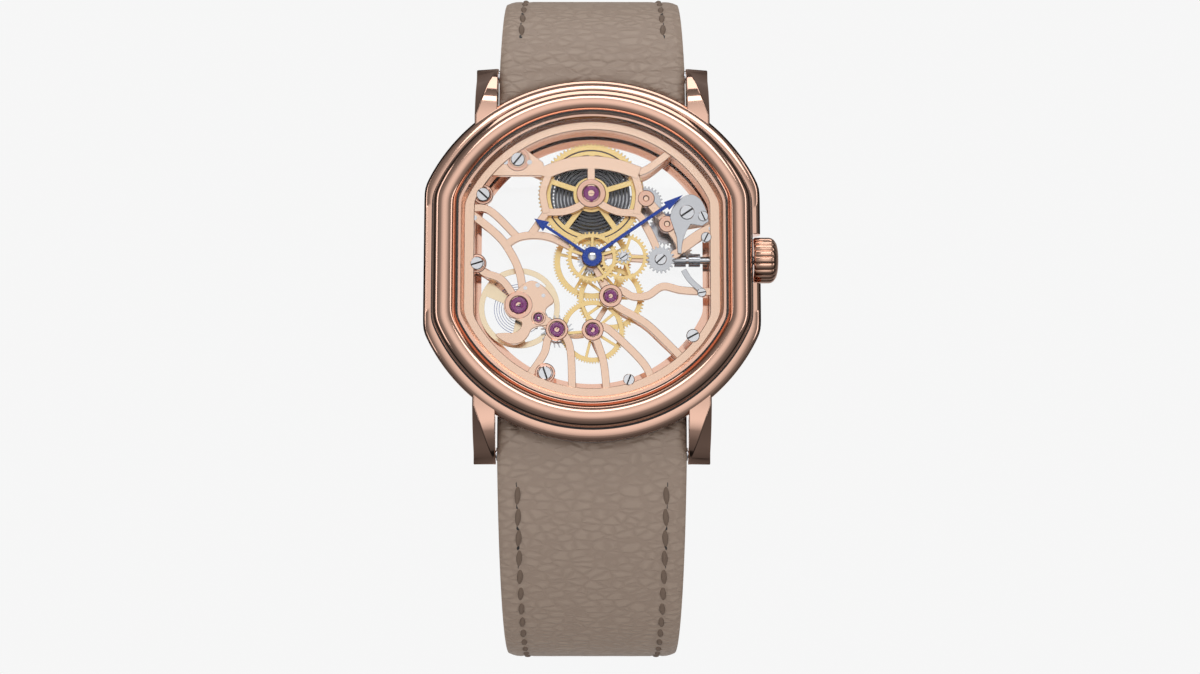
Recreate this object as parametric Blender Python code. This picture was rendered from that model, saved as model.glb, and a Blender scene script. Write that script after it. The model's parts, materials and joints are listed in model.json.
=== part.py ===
"""A dress wristwatch with a skeleton movement, open on its two-part leather strap.

Lengths are in mm while the solids are made, and every solid is scaled to metres at the end.
+X is 3 o'clock (the crown), +Z is 12 o'clock and the dial faces -Y. The case back's flat is y = 0.
"""

import math

import bmesh
import bpy
from mathutils import Matrix, Vector
from mathutils.geometry import tessellate_polygon

TAU = 2 * math.pi

# Axes of the movement, (x, z)
CENTRE = (0.0, 0.0)
BARREL = (-0.1, 6.96)
THIRD = (1.95, -4.02)
FOURTH = (0.06, -7.62)
ESCAPE = (-3.68, -7.57)
PALLET = (-5.61, -6.35)
BALANCE = (-7.69, -5.0)
MINUTE = (3.33, 0.1)
IDLER_A = (5.703, 6.4)
IDLER_B = (7.9, 3.66)
CROWN_WHEEL = (9.3, 1.0)
SETTING = (7.2, -0.16)
STEM_Y = -3.4
BAR_Y = -1.7
BAR_Z = 20.4

for old in list(bpy.data.objects):
    bpy.data.objects.remove(old, do_unlink=True)


def material(name, colour, roughness, metallic):
    made = bpy.data.materials.new(name)
    made.use_nodes = True
    shader = made.node_tree.nodes["Principled BSDF"]
    shader.inputs["Base Color"].default_value = (*colour, 1)
    shader.inputs["Roughness"].default_value = roughness
    shader.inputs["Metallic"].default_value = metallic
    return made


ROSE = material("rose gold", (0.78, 0.45, 0.34), 0.18, 1)
PLATE = material("plate gold", (0.80, 0.56, 0.44), 0.35, 1)
YELLOW = material("yellow gold", (0.82, 0.58, 0.24), 0.3, 1)
STEEL = material("steel", (0.62, 0.63, 0.66), 0.25, 1)
DARK = material("dark steel", (0.12, 0.12, 0.13), 0.4, 1)
BLUE = material("blued steel", (0.02, 0.06, 0.35), 0.25, 0.8)
RUBY = material("ruby", (0.35, 0.03, 0.22), 0.1, 0)
CRYSTAL = material("sapphire", (0.9, 0.93, 0.95), 0.02, 0)
RUBBER = material("gasket", (0.03, 0.03, 0.03), 0.6, 0)
LEATHER = material("leather", (0.26, 0.19, 0.14), 0.7, 0)


def solid(name, points, faces, mat, origin=(0, 0, 0)):
    """One object from points in mm, with its faces turned outward."""
    bm = bmesh.new()
    verts = [bm.verts.new(p) for p in points]
    for face in faces:
        bm.faces.new([verts[i] for i in face])
    bmesh.ops.recalc_face_normals(bm, faces=bm.faces)
    mesh = bpy.data.meshes.new(name)
    bm.to_mesh(mesh)
    bm.free()
    mesh.materials.append(mat)
    mesh.transform(Matrix.Translation(-Vector(origin)))
    obj = bpy.data.objects.new(name, mesh)
    obj.location = origin
    bpy.context.scene.collection.objects.link(obj)
    return obj


def prism(name, loops, y_front, y_back, mat, axis=CENTRE):
    """An outline in (x, z), with any holes after it, made thick along Y."""
    flat = [p for loop in loops for p in loop]
    count = len(flat)
    points = [(x, y_front, z) for x, z in flat] + [(x, y_back, z) for x, z in flat]
    caps = tessellate_polygon([[Vector((x, z, 0)) for x, z in loop] for loop in loops])
    faces = [tuple(t) for t in caps] + [tuple(i + count for i in t) for t in caps]
    start = 0
    for loop in loops:
        size = len(loop)
        for i in range(size):
            a = start + i
            b = start + (i + 1) % size
            faces.append((a, b, b + count, a + count))
        start += size
    return solid(name, points, faces, mat, (axis[0], 0, axis[1]))


def turned(name, profile, mat, axis=CENTRE, along="Y", segments=18, y=0.0):
    """A closed profile of (radius, position) turned about Y through (x, z), or about X at height y."""
    points = []
    rings = []
    for radius, position in profile:
        steps = 1 if radius < 1e-6 else segments
        rings.append(range(len(points), len(points) + steps))
        for i in range(steps):
            c = radius * math.cos(TAU * i / segments)
            s = radius * math.sin(TAU * i / segments)
            points.append((axis[0] + c, position, axis[1] + s) if along == "Y" else (position, y + c, s))
    faces = []
    for ring, after in zip(rings, rings[1:] + rings[:1]):
        for i in range(segments):
            corner = [ring[i % len(ring)], ring[(i + 1) % len(ring)]]
            corner += [after[(i + 1) % len(after)], after[i % len(after)]]
            face = list(dict.fromkeys(corner))
            if len(face) > 2:
                faces.append(face)
    origin = (axis[0], 0, axis[1]) if along == "Y" else (profile[0][1], y, 0)
    return solid(name, points, faces, mat, origin)


def oval_point(radius, half_width, angle):
    """A circle cut by two upright flats, with its corners eased."""
    flat = half_width / max(abs(math.cos(angle)), 1e-6)
    reach = (radius ** -40 + flat ** -40) ** (-1 / 40)
    return reach * math.cos(angle), reach * math.sin(angle)


def oval_ring(name, profile, mat, segments=44):
    """A closed profile of (radius, half width, y) carried round the case's outline."""
    points = []
    for radius, half_width, y in profile:
        for i in range(segments):
            x, z = oval_point(radius, half_width, TAU * (i + 0.5) / segments)
            points.append((x, y, z))
    faces = []
    for k in range(len(profile)):
        here, after = k * segments, (k + 1) % len(profile) * segments
        for i in range(segments):
            j = (i + 1) % segments
            faces.append((here + i, here + j, after + j, after + i))
    return solid(name, points, faces, mat)


def oval_disc(name, layers, mat, segments=44):
    """A solid disc from (radius, half width, y) layers, front to back."""
    points = []
    for radius, half_width, y in layers:
        for i in range(segments):
            x, z = oval_point(radius, half_width, TAU * (i + 0.5) / segments)
            points.append((x, y, z))
    faces = [tuple(range(segments)), tuple(range((len(layers) - 1) * segments, len(layers) * segments))]
    for k in range(len(layers) - 1):
        for i in range(segments):
            j = (i + 1) % segments
            faces.append((k * segments + i, k * segments + j, (k + 1) * segments + j, (k + 1) * segments + i))
    return solid(name, points, faces, mat)


def block(name, low, high, mat):
    corners = [(x, y, z) for x in (low[0], high[0]) for y in (low[1], high[1]) for z in (low[2], high[2])]
    sides = [(0, 1, 3, 2), (4, 5, 7, 6), (0, 1, 5, 4), (2, 3, 7, 6), (0, 2, 6, 4), (1, 3, 7, 5)]
    return solid(name, corners, sides, mat)


def circle(radius, centre=CENTRE, steps=24):
    return [
        (centre[0] + radius * math.cos(TAU * i / steps), centre[1] + radius * math.sin(TAU * i / steps))
        for i in range(steps)
    ]


def combine(base, operation, others):
    """Joins other solids to base, or cuts them from it, and removes them."""
    for other in others:
        cut = base.modifiers.new("combine", "BOOLEAN")
        cut.operation = operation
        cut.solver = "EXACT"
        cut.object = other
    bpy.context.view_layer.update()
    made = bpy.data.meshes.new_from_object(base.evaluated_get(bpy.context.evaluated_depsgraph_get()))
    base.modifiers.clear()
    bm = bmesh.new()
    bm.from_mesh(made)
    if not all(edge.is_manifold for edge in bm.edges):
        bmesh.ops.remove_doubles(bm, verts=bm.verts, dist=0.00005)
        bmesh.ops.dissolve_degenerate(bm, edges=bm.edges, dist=0.00005)
        bmesh.ops.holes_fill(bm, edges=[edge for edge in bm.edges if edge.is_boundary], sides=8)
    bmesh.ops.triangulate(bm, faces=bm.faces)
    bm.to_mesh(made)
    bm.free()
    base.data = made
    for other in others:
        bpy.data.objects.remove(other, do_unlink=True)
    return base


def smooth_line(points, steps=4):
    """Catmull-Rom points through the given ones."""
    if len(points) < 3:
        return list(points)
    padded = [points[0], *points, points[-1]]
    line = []
    for a, b, c, d in zip(padded, padded[1:], padded[2:], padded[3:]):
        for i in range(steps):
            t = i / steps
            line.append(tuple(
                0.5 * (2 * q + (r - p) * t + (2 * p - 5 * q + 4 * r - s) * t * t
                       + (3 * q - p - 3 * r + s) * t ** 3)
                for p, q, r, s in zip(a, b, c, d)
            ))
    return line + [points[-1]]


def strip(points, width, steps=4):
    """The outline of a bar of even width along a smooth line."""
    line = [Vector(p) for p in smooth_line(points, steps)]
    left, right = [], []
    for i, here in enumerate(line):
        way = (line[min(i + 1, len(line) - 1)] - line[max(i - 1, 0)]).normalized()
        side = Vector((-way.y, way.x)) * width / 2
        left.append(tuple(here + side))
        right.append(tuple(here - side))
    return left + right[::-1]


def gear_outline(teeth, module, phase=0.0, centre=CENTRE):
    pitch = teeth * module / 2
    outline = []
    for k in range(teeth):
        for share, radius in ((-0.14, 0.85), (0.14, 0.85), (0.5, -1.05)):
            angle = TAU * (k + share) / teeth + phase
            r = pitch + radius * module
            outline.append((centre[0] + r * math.cos(angle), centre[1] + r * math.sin(angle)))
    return outline


def windows(centre, inner, outer, count, spoke, phase=0.0, steps=3):
    """Openings between spokes of even width."""
    loops = []
    for k in range(count):
        start, end = phase + TAU * k / count, phase + TAU * (k + 1) / count
        arc = []
        for radius, order in ((outer, 1), (inner, -1)):
            inset = math.asin(spoke / 2 / radius)
            a, b = start + inset, end - inset
            points = [a + (b - a) * i / steps for i in range(steps + 1)][::order]
            arc += [(centre[0] + radius * math.cos(t), centre[1] + radius * math.sin(t)) for t in points]
        loops.append(arc)
    return loops


def meshed(teeth, phase, centre, other_teeth, other_centre):
    """The phase that puts a gap of the second gear over a tooth of the first."""
    way = math.atan2(other_centre[1] - centre[1], other_centre[0] - centre[0])
    return way + math.pi - (phase - way) * teeth / other_teeth + math.pi / other_teeth


def rod(name, axis, radius, y_front, y_back, mat=STEEL, segments=10):
    return turned(name, [(0, y_front), (radius, y_front), (radius, y_back), (0, y_back)], mat, axis,
                  segments=segments)


def arbor_gear(name, gear_loops, y_front, y_back, mat, axis, shaft, pinion=None):
    """A wheel with its arbor and, if given, a pinion of (loops, y_front, y_back), as one solid."""
    wheel = prism(name, gear_loops, y_front, y_back, mat, axis)
    parts = [rod("arbor", axis, *shaft)]
    if pinion:
        parts.append(prism("pinion", *pinion, STEEL, axis))
    return combine(wheel, "UNION", parts)


# ---------------------------------------------------------------- case
case = oval_ring("mid_case", [
    (18.3, 17.0, -4.9), (19.0, 17.5, -4.75), (19.3, 17.75, -4.3), (19.3, 17.75, -3.5), (18.9, 17.3, -2.9),
    (18.2, 16.6, -1.2), (15.3, 14.2, -1.2), (15.3, 14.2, -4.9),
], ROSE)
lugs = []
LUG_SIDE = [(14.0, -4.6), (17.0, -4.75), (18.6, -4.4), (20.2, -3.5), (21.3, -2.0), (21.5, -1.0),
            (21.0, -0.5), (18.0, -1.0), (14.0, -1.6)]
for sx in (-1, 1):
    for sz in (-1, 1):
        corner = []
        for x in (10.1, 12.5):
            corner += [(sx * x, y, sz * z) for z, y in LUG_SIDE]
        n = len(LUG_SIDE)
        sides = [tuple(range(n)), tuple(range(n, 2 * n))]
        sides += [(i, (i + 1) % n, n + (i + 1) % n, n + i) for i in range(n)]
        lugs.append(solid("lug", corner, sides, ROSE))
combine(case, "UNION", lugs)
bore = oval_disc("bore", [(15.3, 14.2, -6.0), (15.3, 14.2, 1.0)], ROSE)
notch = block("notch", (16.8, -7, -2.65), (19, 1, 2.65), ROSE)
hole = turned("hole", [(0, 12), (0.95, 12), (0.95, 18), (0, 18)], ROSE, along="X", y=STEM_Y)
holes = [bore, notch, hole]
for sz in (-1, 1):
    pin = turned("pin", [(0, -11.3), (0.42, -11.3), (0.42, 11.3), (0, 11.3)], ROSE, along="X", y=BAR_Y,
                 segments=12)
    pin.location.z = sz * BAR_Z
    holes.append(pin)
combine(case, "DIFFERENCE", holes)

oval_ring("bezel", [
    (15.55, 14.21, -6.55), (15.9, 14.6, -6.7), (16.9, 15.6, -6.62), (17.8, 16.6, -6.1), (18.0, 16.75, -5.5),
    (17.9, 16.65, -4.9), (15.3, 14.2, -4.9), (15.2, 14.1, -5.0), (14.65, 13.4, -5.05), (15.0, 13.75, -6.05),
    (15.55, 14.21, -6.05),
], ROSE)
oval_ring("crystal_gasket", [(15.53, 14.19, -6.5), (15.4, 14.06, -6.5), (15.4, 14.06, -6.07),
                             (15.53, 14.19, -6.07)],
          RUBBER)
oval_disc("crystal_front", [(15.1, 13.76, -6.9), (15.38, 14.04, -6.78), (15.38, 14.04, -6.07)], CRYSTAL)
oval_ring("case_back", [
    (18.1, 16.5, -1.18), (17.6, 16.0, -0.4), (17.2, 15.6, 0.0), (13.4, 12.3, 0.0), (13.3, 12.2, -0.15),
    (13.3, 12.2, -1.0), (12.9, 11.8, -1.0), (12.9, 11.8, -1.18),
], ROSE)
oval_disc("case_back_crystal", [(13.27, 12.17, -0.98), (13.27, 12.17, -0.15), (13.1, 12.0, 0.0)], CRYSTAL)

CROWN_POINTS = 60
CROWN_RADIUS, FLUTE_RADIUS = 2.42, 2.28
flutes = []
for i in range(CROWN_POINTS):
    deep = FLUTE_RADIUS if i % 3 == 0 else CROWN_RADIUS
    flutes.append((deep * math.cos(TAU * i / CROWN_POINTS), deep * math.sin(TAU * i / CROWN_POINTS)))
layers = ((17.0, 0.93), (17.15, 1.0), (18.75, 1.0), (19.35, 0.86), (19.66, 0.5))
points = [(x, STEM_Y + s * a, s * b) for x, s in layers for a, b in flutes]
faces = [tuple(range(CROWN_POINTS)), tuple(range(len(points) - CROWN_POINTS, len(points)))]
for low in range(0, len(points) - CROWN_POINTS, CROWN_POINTS):
    for i in range(CROWN_POINTS):
        j = (i + 1) % CROWN_POINTS
        faces.append((low + i, low + j, low + CROWN_POINTS + j, low + CROWN_POINTS + i))
crown = solid("crown", points, faces, ROSE, (17, STEM_Y, 0))
combine(crown, "DIFFERENCE", [
    turned("socket", [(0, 16), (0.48, 16), (0.48, 18.2), (0, 18.2)], ROSE, along="X", y=STEM_Y, segments=12)])
turned("crown_tube", [(0.93, 14.3), (0.93, 16.75), (0.55, 16.75), (0.55, 14.3)], STEEL, along="X", y=STEM_Y)
turned("winding_stem", [(0, 7.4), (0.25, 7.4), (0.25, 8.5), (0.4, 8.5), (0.4, 13.6), (0.46, 13.6),
                        (0.46, 18.15),
                        (0, 18.15)], STEEL, along="X", y=STEM_Y, segments=12)
for label, sz in (("12", 1), ("6", -1)):
    bar = turned("spring_bar_" + label, [(0, -11.2), (0.4, -11.2), (0.4, -10.05), (0.7, -10.05), (0.7, 10.05),
                 (0.4, 10.05), (0.4, 11.2), (0, 11.2)], STEEL, along="X", y=BAR_Y, segments=12)
    bar.location.z = sz * BAR_Z

# ---------------------------------------------------------------- plates
FRONT_BARS = [
    (1.4, [(-5.0, 9.2), (-2.6, 10.05), (-0.1, 10.3), (2.5, 9.98), (5.0, 9.15)]),
    (0.58, [(-0.1, 10.3), (-0.1, 6.9)]),
    (0.5, [(-4.6, 9.0), (-5.2, 7.0), (-4.8, 4.8)]), (0.5, [(4.5, 9.0), (5.0, 7.0), (4.7, 4.7)]),
    (0.53, [(-0.1, 6.9), (-1.2, 5.7), (-2.9, 5.0), (-4.8, 4.93)]),
    (0.53, [(-0.1, 6.9), (1.1, 5.7), (2.8, 4.95), (4.8, 4.7), (5.75, 3.3), (6.6, 1.55), (7.2, -0.16)]),
    (0.5, [(-4.8, 4.93), (-6.4, 2.6)]),
    (0.55, [(-8.9, 1.55), (-7.7, 2.25), (-6.1, 2.47), (-4.5, 2.25), (-2.9, 1.55), (0, 0)]),
    (0.85, [(-13.2, 4.9), (-12.3, 4.4), (-9.8, 2.3), (-8.5, 0.47), (-7.66, -1.37), (-7.3, -3.2)]),
    (0.45, [(-13.4, 5.2), (-10.96, 5.2), (-8.0, 2.4)]),
    (0.75, [(-13.4, -0.6), (-12.1, -0.9), (-11.2, -1.6), (-9.8, -2.1), (-8.8, -3.1), (-7.69, -5.0)]),
    (0.65, [(-3.68, -7.57), (-4.6, -8.5), (-5.0, -10.1), (-6.4, -12.2), (-7.2, -12.9)]),
    (0.65, [(-3.68, -7.57), (-2.66, -8.5), (-2.2, -10.3), (-2.07, -14.3)]),
    (0.75, [(0.06, -7.62), (1.17, -10.9), (1.54, -14.3)]),
    (0.6, [(0.06, -7.62), (1.28, -7.3), (3.24, -8.9), (5.5, -11.3), (6.4, -13.3)]),
    (0.75, [(1.95, -4.02), (2.66, -5.15), (5.5, -6.8), (7.66, -8.8), (9.8, -11.0)]),
    (0.6, [(1.95, -4.02), (2.98, -3.4), (4.26, -4.07), (5.85, -3.96), (7.45, -3.0), (9.5, -3.4),
           (13.2, -3.6)]),
    (0.55, [(1.95, -4.02), (0.9, -2.0), (0.0, 0.0)]), (0.6, [(0, 0), (2.0, 0.4), (3.33, 0.1), (7.2, -0.16)]),
    (0.6, [(4.9, 9.2), (6.0, 9.7), (7.6, 10.9), (8.6, 11.8)]),
    (1.1, [(-5.61, -6.35), (-5.0, -5.2), (-4.95, -3.9)]), (1.3, [(-4.95, -4.2), (-6.1, -3.2), (-7.69, -3.3)]),
    (1.3, [(-7.5, -3.0), (-7.69, -5.0)]),
    (1.1, [(-5.61, -6.35), (-3.68, -7.57)]),
    (0.9, [(7.2, -0.16), (9.3, 1.0), (7.9, 3.66), (5.703, 6.4), (5.0, 7.2)]),
    (1.2, [(9.3, 1.0), (11.5, 2.6), (13.2, 3.4)]),
]
FLANGE = [(-4.7, 8.6), (-5.4, 8.85), (-10.6, 8.85), (-11.4, 7.7), (-12.9, 7.0), (-12.6, 8.0), (-11.0, 9.9),
          (-9.4, 11.4), (-7.6, 12.4), (-6.9, 11.6), (-5.2, 10.3)]
FRONT_BOSSES = [
    (CENTRE, 1.1), (BARREL, 1.55), (THIRD, 1.23), (FOURTH, 1.15), (ESCAPE, 1.18), (PALLET, 0.95),
    (BALANCE, 1.48),
    (MINUTE, 0.7), (SETTING, 1.0), (IDLER_B, 0.9), (IDLER_A, 0.9), (CROWN_WHEEL, 0.9),
    ((-7.87, 10.6), 1.3), ((-11.5, 6.8), 1.07), ((-12.1, -0.57), 1.0), ((-4.9, -12.2), 1.07),
    ((-12.4, 4.3), 0.6),
]
RIM_FRONT, PLATE_FRONT, PLATE_BACK = -4.95, -4.78, -4.15


def skeleton(name, bars, bosses, y_front, y_back, extras=()):
    parts = []
    for i, (width, line) in enumerate(bars):
        parts.append(prism("bar", [strip(line, width, 2)], y_front + 0.004 * i, y_back - 0.004 * i, PLATE))
    for i, (at, radius) in enumerate(bosses):
        parts.append(rod("boss", at, radius, y_front - 0.02 - 0.002 * i, y_back + 0.002 * (i + 1), PLATE, 12))
    parts += [prism("extra", [loop], y_front + 0.09, y_back - 0.09, PLATE) for loop in extras]
    base = parts.pop(0)
    base.name = name
    return combine(base, "UNION", parts)


plate = skeleton("main_plate", FRONT_BARS, FRONT_BOSSES, PLATE_FRONT, PLATE_BACK, [FLANGE])
rim = oval_ring("rim", [(15.15, 14.05, RIM_FRONT), (13.8, 12.4, RIM_FRONT), (13.8, 12.4, -2.0),
                        (15.15, 14.05, -2.0)],
                PLATE)
combine(plate, "UNION", [rim])
JEWELS = {"barrel": (BARREL, 0.84), "third": (THIRD, 0.68), "fourth": (FOURTH, 0.66),
          "escape": (ESCAPE, 0.75),
          "pallet": (PALLET, 0.43), "balance": (BALANCE, 0.87)}
cuts = [rod("seat", at, r + 0.06, -6, -4.45, PLATE) for at, r in JEWELS.values()]
cuts += [rod("way", at, 0.24, -6, -3.9, PLATE, 12) for at, _ in JEWELS.values()]
cuts += [rod("way", CENTRE, 0.42, -6, -3.9, PLATE), rod("way", MINUTE, 0.3, -6, -3.9, PLATE, 12),
         rod("way", SETTING, 0.3, -6, -3.9, PLATE, 12)]
SCREWS = {1: (-7.87, 10.6), 2: (-11.5, 6.8), 3: (-12.1, -0.57), 4: (-4.9, -12.2)}
cuts += [rod("screw", at, 0.78, -6, -4.55, PLATE) for at in SCREWS.values()]
cuts.append(turned("stem way", [(0, 11), (0.65, 11), (0.65, 16), (0, 16)], PLATE, along="X", y=STEM_Y,
                   segments=12))
combine(plate, "DIFFERENCE", cuts)
for label, (at, r) in JEWELS.items():
    turned("jewel_" + label, [(r - 0.05, -4.82), (r, -4.76), (r, -4.47), (0.2, -4.47), (0.2, -4.72),
                              (0.3, -4.82)],
           RUBY, at, segments=12)
for label, at in SCREWS.items():
    head = rod(f"plate_screw_{label}", at, 0.75, -5.0, -4.57)
    slot = block("slot", (at[0] - 1, -5.2, at[1] - 0.09), (at[0] + 1, -4.85, at[1] + 0.09), STEEL)
    combine(head, "DIFFERENCE", [slot])

BRIDGE_FRONT, BRIDGE_BACK = -2.0, -1.55
bridges = [
    skeleton("barrel_bridge", [
        (0.8, [(-5.0, 9.2), (-2.6, 10.05), (-0.1, 10.3), (2.5, 9.98), (5.0, 9.15), (7.6, 10.9), (8.9, 12.1)]),
        (0.6, [(-0.1, 10.3), (-0.1, 6.9)]), (0.8, [(-5.0, 9.2), (-7.87, 10.6), (-9.4, 11.8)]),
        (0.7, [(5.0, 9.15), (5.703, 6.4), (7.9, 3.66), (9.3, 1.0)]), (0.8, [(7.9, 3.66), (13.4, 4.6)]),
    ], [(BARREL, 1.5), (IDLER_A, 0.8), (IDLER_B, 0.8), (CROWN_WHEEL, 0.7)], BRIDGE_FRONT, BRIDGE_BACK),
    skeleton("train_bridge", [
        (0.6, [(0, 0), (0.9, -2.0), (1.95, -4.02), (2.66, -5.15), (5.5, -6.8), (7.66, -8.8), (10.2, -11.2)]),
        (0.55, [(1.95, -4.02), (0.06, -7.62), (1.17, -10.9), (1.54, -14.6)]),
        (0.5, [(0.06, -7.62), (-1.8, -7.9), (-3.68, -7.57)]),
        (0.6, [(-3.68, -7.57), (-2.6, -8.9), (-2.2, -10.3), (-2.07, -14.6)]),
    ], [(CENTRE, 0.9), (THIRD, 0.9), (FOURTH, 0.85), (ESCAPE, 0.8)], BRIDGE_FRONT, BRIDGE_BACK),
    skeleton("balance_bridge", [(1.0, [(-7.69, -5.0), (-9.8, -2.3), (-12.1, -0.7), (-13.6, -0.5)])],
             [(BALANCE, 1.2)], BRIDGE_FRONT, BRIDGE_BACK),
]
for bridge, axes in zip(bridges,
                        ((BARREL, IDLER_A, IDLER_B, CROWN_WHEEL), (CENTRE, THIRD, FOURTH, ESCAPE),
                         (BALANCE,))):
    combine(bridge, "DIFFERENCE", [rod("way", at, 0.24, -3, -1, PLATE, 12) for at in axes])
pallet_bridge = skeleton("pallet_bridge", [(0.7, [(-5.61, -6.35), (-5.0, -4.3)])],
                         [(PALLET, 0.5), ((-5.0, -4.3), 0.5)],
                         -3.0, -2.87)
combine(pallet_bridge, "UNION", [rod("pillar", (-5.0, -4.3), 0.35, PLATE_BACK, -2.93, PLATE)])
combine(pallet_bridge, "DIFFERENCE", [rod("way", PALLET, 0.17, -4, -2, PLATE, 12)])

# ---------------------------------------------------------------- going train
M_BARREL = 6.9607 / 50.5
M_CENTRE = math.dist(CENTRE, THIRD) / 44
M_THIRD = math.dist(THIRD, FOURTH) / 35
M_FOURTH = math.dist(FOURTH, ESCAPE) / 40
p_third_pinion = meshed(80, 0, CENTRE, 8, THIRD)
p_fourth_pinion = meshed(60, 0, THIRD, 10, FOURTH)
p_escape_pinion = meshed(72, 0, FOURTH, 8, ESCAPE)
p_barrel = meshed(21, 0, CENTRE, 80, BARREL)
toothed = prism("barrel", [gear_outline(80, M_BARREL, p_barrel, BARREL), circle(0.75, BARREL),
                           *windows(BARREL, 1.9, 4.3, 5, 0.6, 0.3)], -4.05, -3.75, YELLOW, BARREL)
drum = turned("drum", [(4.7, -3.8), (4.7, -2.8), (4.5, -2.8), (4.5, -3.8)], DARK, BARREL,
              segments=28)
combine(toothed, "UNION", [drum])
spiral = []
for side in (1, -1):
    arm = []
    for i in range(49):
        t = i / 48
        r = 1.1 + 3.2 * t + side * 0.09
        arm.append((BARREL[0] + r * math.cos(TAU * 3 * t), BARREL[1] + r * math.sin(TAU * 3 * t)))
    spiral += arm[::side]
prism("mainspring", [spiral], -3.6, -2.9, DARK, BARREL)
turned("barrel_arbor", [(0, -4.4), (0.2, -4.4), (0.2, -4.08), (0.7, -4.08), (0.7, -2.78), (0.4, -2.78),
               (0.4, -2.05), (0.2, -2.05), (0.2, -1.6), (0, -1.6)], STEEL, BARREL)
RATCHET_MODULE = 3.512 / 28
p_a = meshed(65, 0, BARREL, 28, IDLER_A)
p_b = meshed(28, p_a, IDLER_A, 28, IDLER_B)
p_crown = meshed(28, p_b, IDLER_B, 20, CROWN_WHEEL)
prism("ratchet_wheel", [gear_outline(65, RATCHET_MODULE, 0, BARREL), circle(0.42, BARREL)], -2.35, -2.12,
                STEEL, BARREL)
for name, teeth, phase, at in (("winding_wheel_a", 28, p_a, IDLER_A), ("winding_wheel_b", 28, p_b, IDLER_B),
                               ("crown_wheel", 20, p_crown, CROWN_WHEEL)):
    arbor_gear(name, [gear_outline(teeth, RATCHET_MODULE, phase, at)], -2.35, -2.12, STEEL, at,
               (0.2, -4.1 if name != "crown_wheel" else -2.38, -1.6))
arbor_gear("centre_wheel", [gear_outline(80, M_CENTRE), *windows(CENTRE, 0.75, 3.4, 5, 0.32, 0.4)], -2.65,
           -2.47,
           YELLOW, CENTRE, (0.24, -4.6, -2.25), ([gear_outline(21, M_BARREL)], -4.08, -3.6))
combine(bpy.data.objects["centre_wheel"], "UNION", [rod("pivot", CENTRE, 0.2, -2.4, -1.6)])
arbor_gear("third_wheel", [gear_outline(60, M_THIRD, 0, THIRD), *windows(THIRD, 0.7, 2.85, 5, 0.3)], -3.3,
           -3.12,
           YELLOW, THIRD, (0.18, -4.4, -1.6),
           ([gear_outline(8, M_CENTRE, p_third_pinion, THIRD)], -2.75, -2.37))
arbor_gear("fourth_wheel", [gear_outline(72, M_FOURTH, 0, FOURTH), *windows(FOURTH, 0.7, 2.8, 5, 0.3, 0.7)],
           -3.75,
           -3.58, YELLOW, FOURTH, (0.18, -4.4, -1.6),
           ([gear_outline(10, M_THIRD, p_fourth_pinion, FOURTH)], -3.4, -3.02))
club = []
for k in range(20):
    for share, r in ((0.0, 1.32), (0.45, 1.75), (0.62, 1.72), (0.5, 1.3)):
        angle = TAU * (k + share) / 20
        club.append((ESCAPE[0] + r * math.cos(angle), ESCAPE[1] + r * math.sin(angle)))
arbor_gear("escape_wheel", [club, *windows(ESCAPE, 0.45, 1.1, 4, 0.2)], -3.25, -3.12, STEEL, ESCAPE,
           (0.15, -4.4, -1.6), ([gear_outline(8, M_FOURTH, p_escape_pinion, ESCAPE)], -3.85, -3.5))
fork = skeleton("pallet_fork", [(0.3, [PALLET, (-7.05, -5.42)]),
                                (0.28, [(-5.9, -7.3), PALLET, (-4.75, -5.75)])],
                [(PALLET, 0.32)], -3.25, -3.12)
combine(fork, "UNION", [rod("arbor", PALLET, 0.13, -4.4, -2.88, STEEL, 12)])
fork.location = (PALLET[0], 0, PALLET[1])
fork.data.transform(Matrix.Translation((-PALLET[0], 0, -PALLET[1])))
balance = prism("balance_wheel", [circle(4.28, BALANCE, 48), *windows(BALANCE, 0.75, 3.7, 3, 0.6, 0.5, 7)],
                -2.75, -2.4,
                YELLOW, BALANCE)
combine(balance, "UNION", [turned("staff",
                                  [(0, -4.4), (0.15, -4.4), (0.15, -3.2), (0.45, -3.2), (0.45, -2.95),
                                            (0.3, -2.95), (0.3, -2.2), (0.15, -2.2), (0.15, -1.6), (0, -1.6)],
                                  STEEL, BALANCE, segments=12)])
hair = []
for side in (1, -1):
    arm = []
    for i in range(49):
        t = i / 48
        r = 0.5 + 2.2 * t + side * 0.03
        arm.append((BALANCE[0] + r * math.cos(TAU * 3 * t), BALANCE[1] + r * math.sin(TAU * 3 * t)))
    hair += arm[::side]
prism("hairspring", [hair], -2.3, -2.2, BLUE, BALANCE)

# ---------------------------------------------------------------- motion work and hands
M_MINUTE = math.dist(CENTRE, MINUTE) / 24
M_HOUR = math.dist(CENTRE, MINUTE) / 25
M_SET = math.dist(MINUTE, SETTING) / 28
p_minute = meshed(12, 0, CENTRE, 36, MINUTE)
p_hour = meshed(10, 0, MINUTE, 40, CENTRE)
p_set = meshed(36, p_minute, MINUTE, 20, SETTING)
cannon = turned("cannon_pinion", [(0.27, -5.78), (0.4, -5.78), (0.4, -4.65), (0.27, -4.65)], STEEL)
combine(cannon, "UNION", [prism("teeth", [gear_outline(12, M_MINUTE), circle(0.3)], -4.97, -4.82, STEEL)])
arbor_gear("minute_wheel", [gear_outline(36, M_MINUTE, p_minute, MINUTE),
                            *windows(MINUTE, 0.85, 2.05, 5, 0.3)],
           -4.97, -4.83, YELLOW, MINUTE, (0.26, -5.25, -4.2),
           ([gear_outline(10, M_HOUR, 0, MINUTE)], -5.2, -4.9))
hour = prism("hour_wheel", [gear_outline(40, M_HOUR, p_hour), *windows(CENTRE, 1.0, 2.15, 5, 0.3, 0.3)],
             -5.16, -5.02,
             YELLOW)
combine(hour, "UNION", [rod("pipe", CENTRE, 0.62, -5.42, -5.02, YELLOW)])
combine(hour, "DIFFERENCE", [rod("bore", CENTRE, 0.44, -6, -4, YELLOW)])
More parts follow.
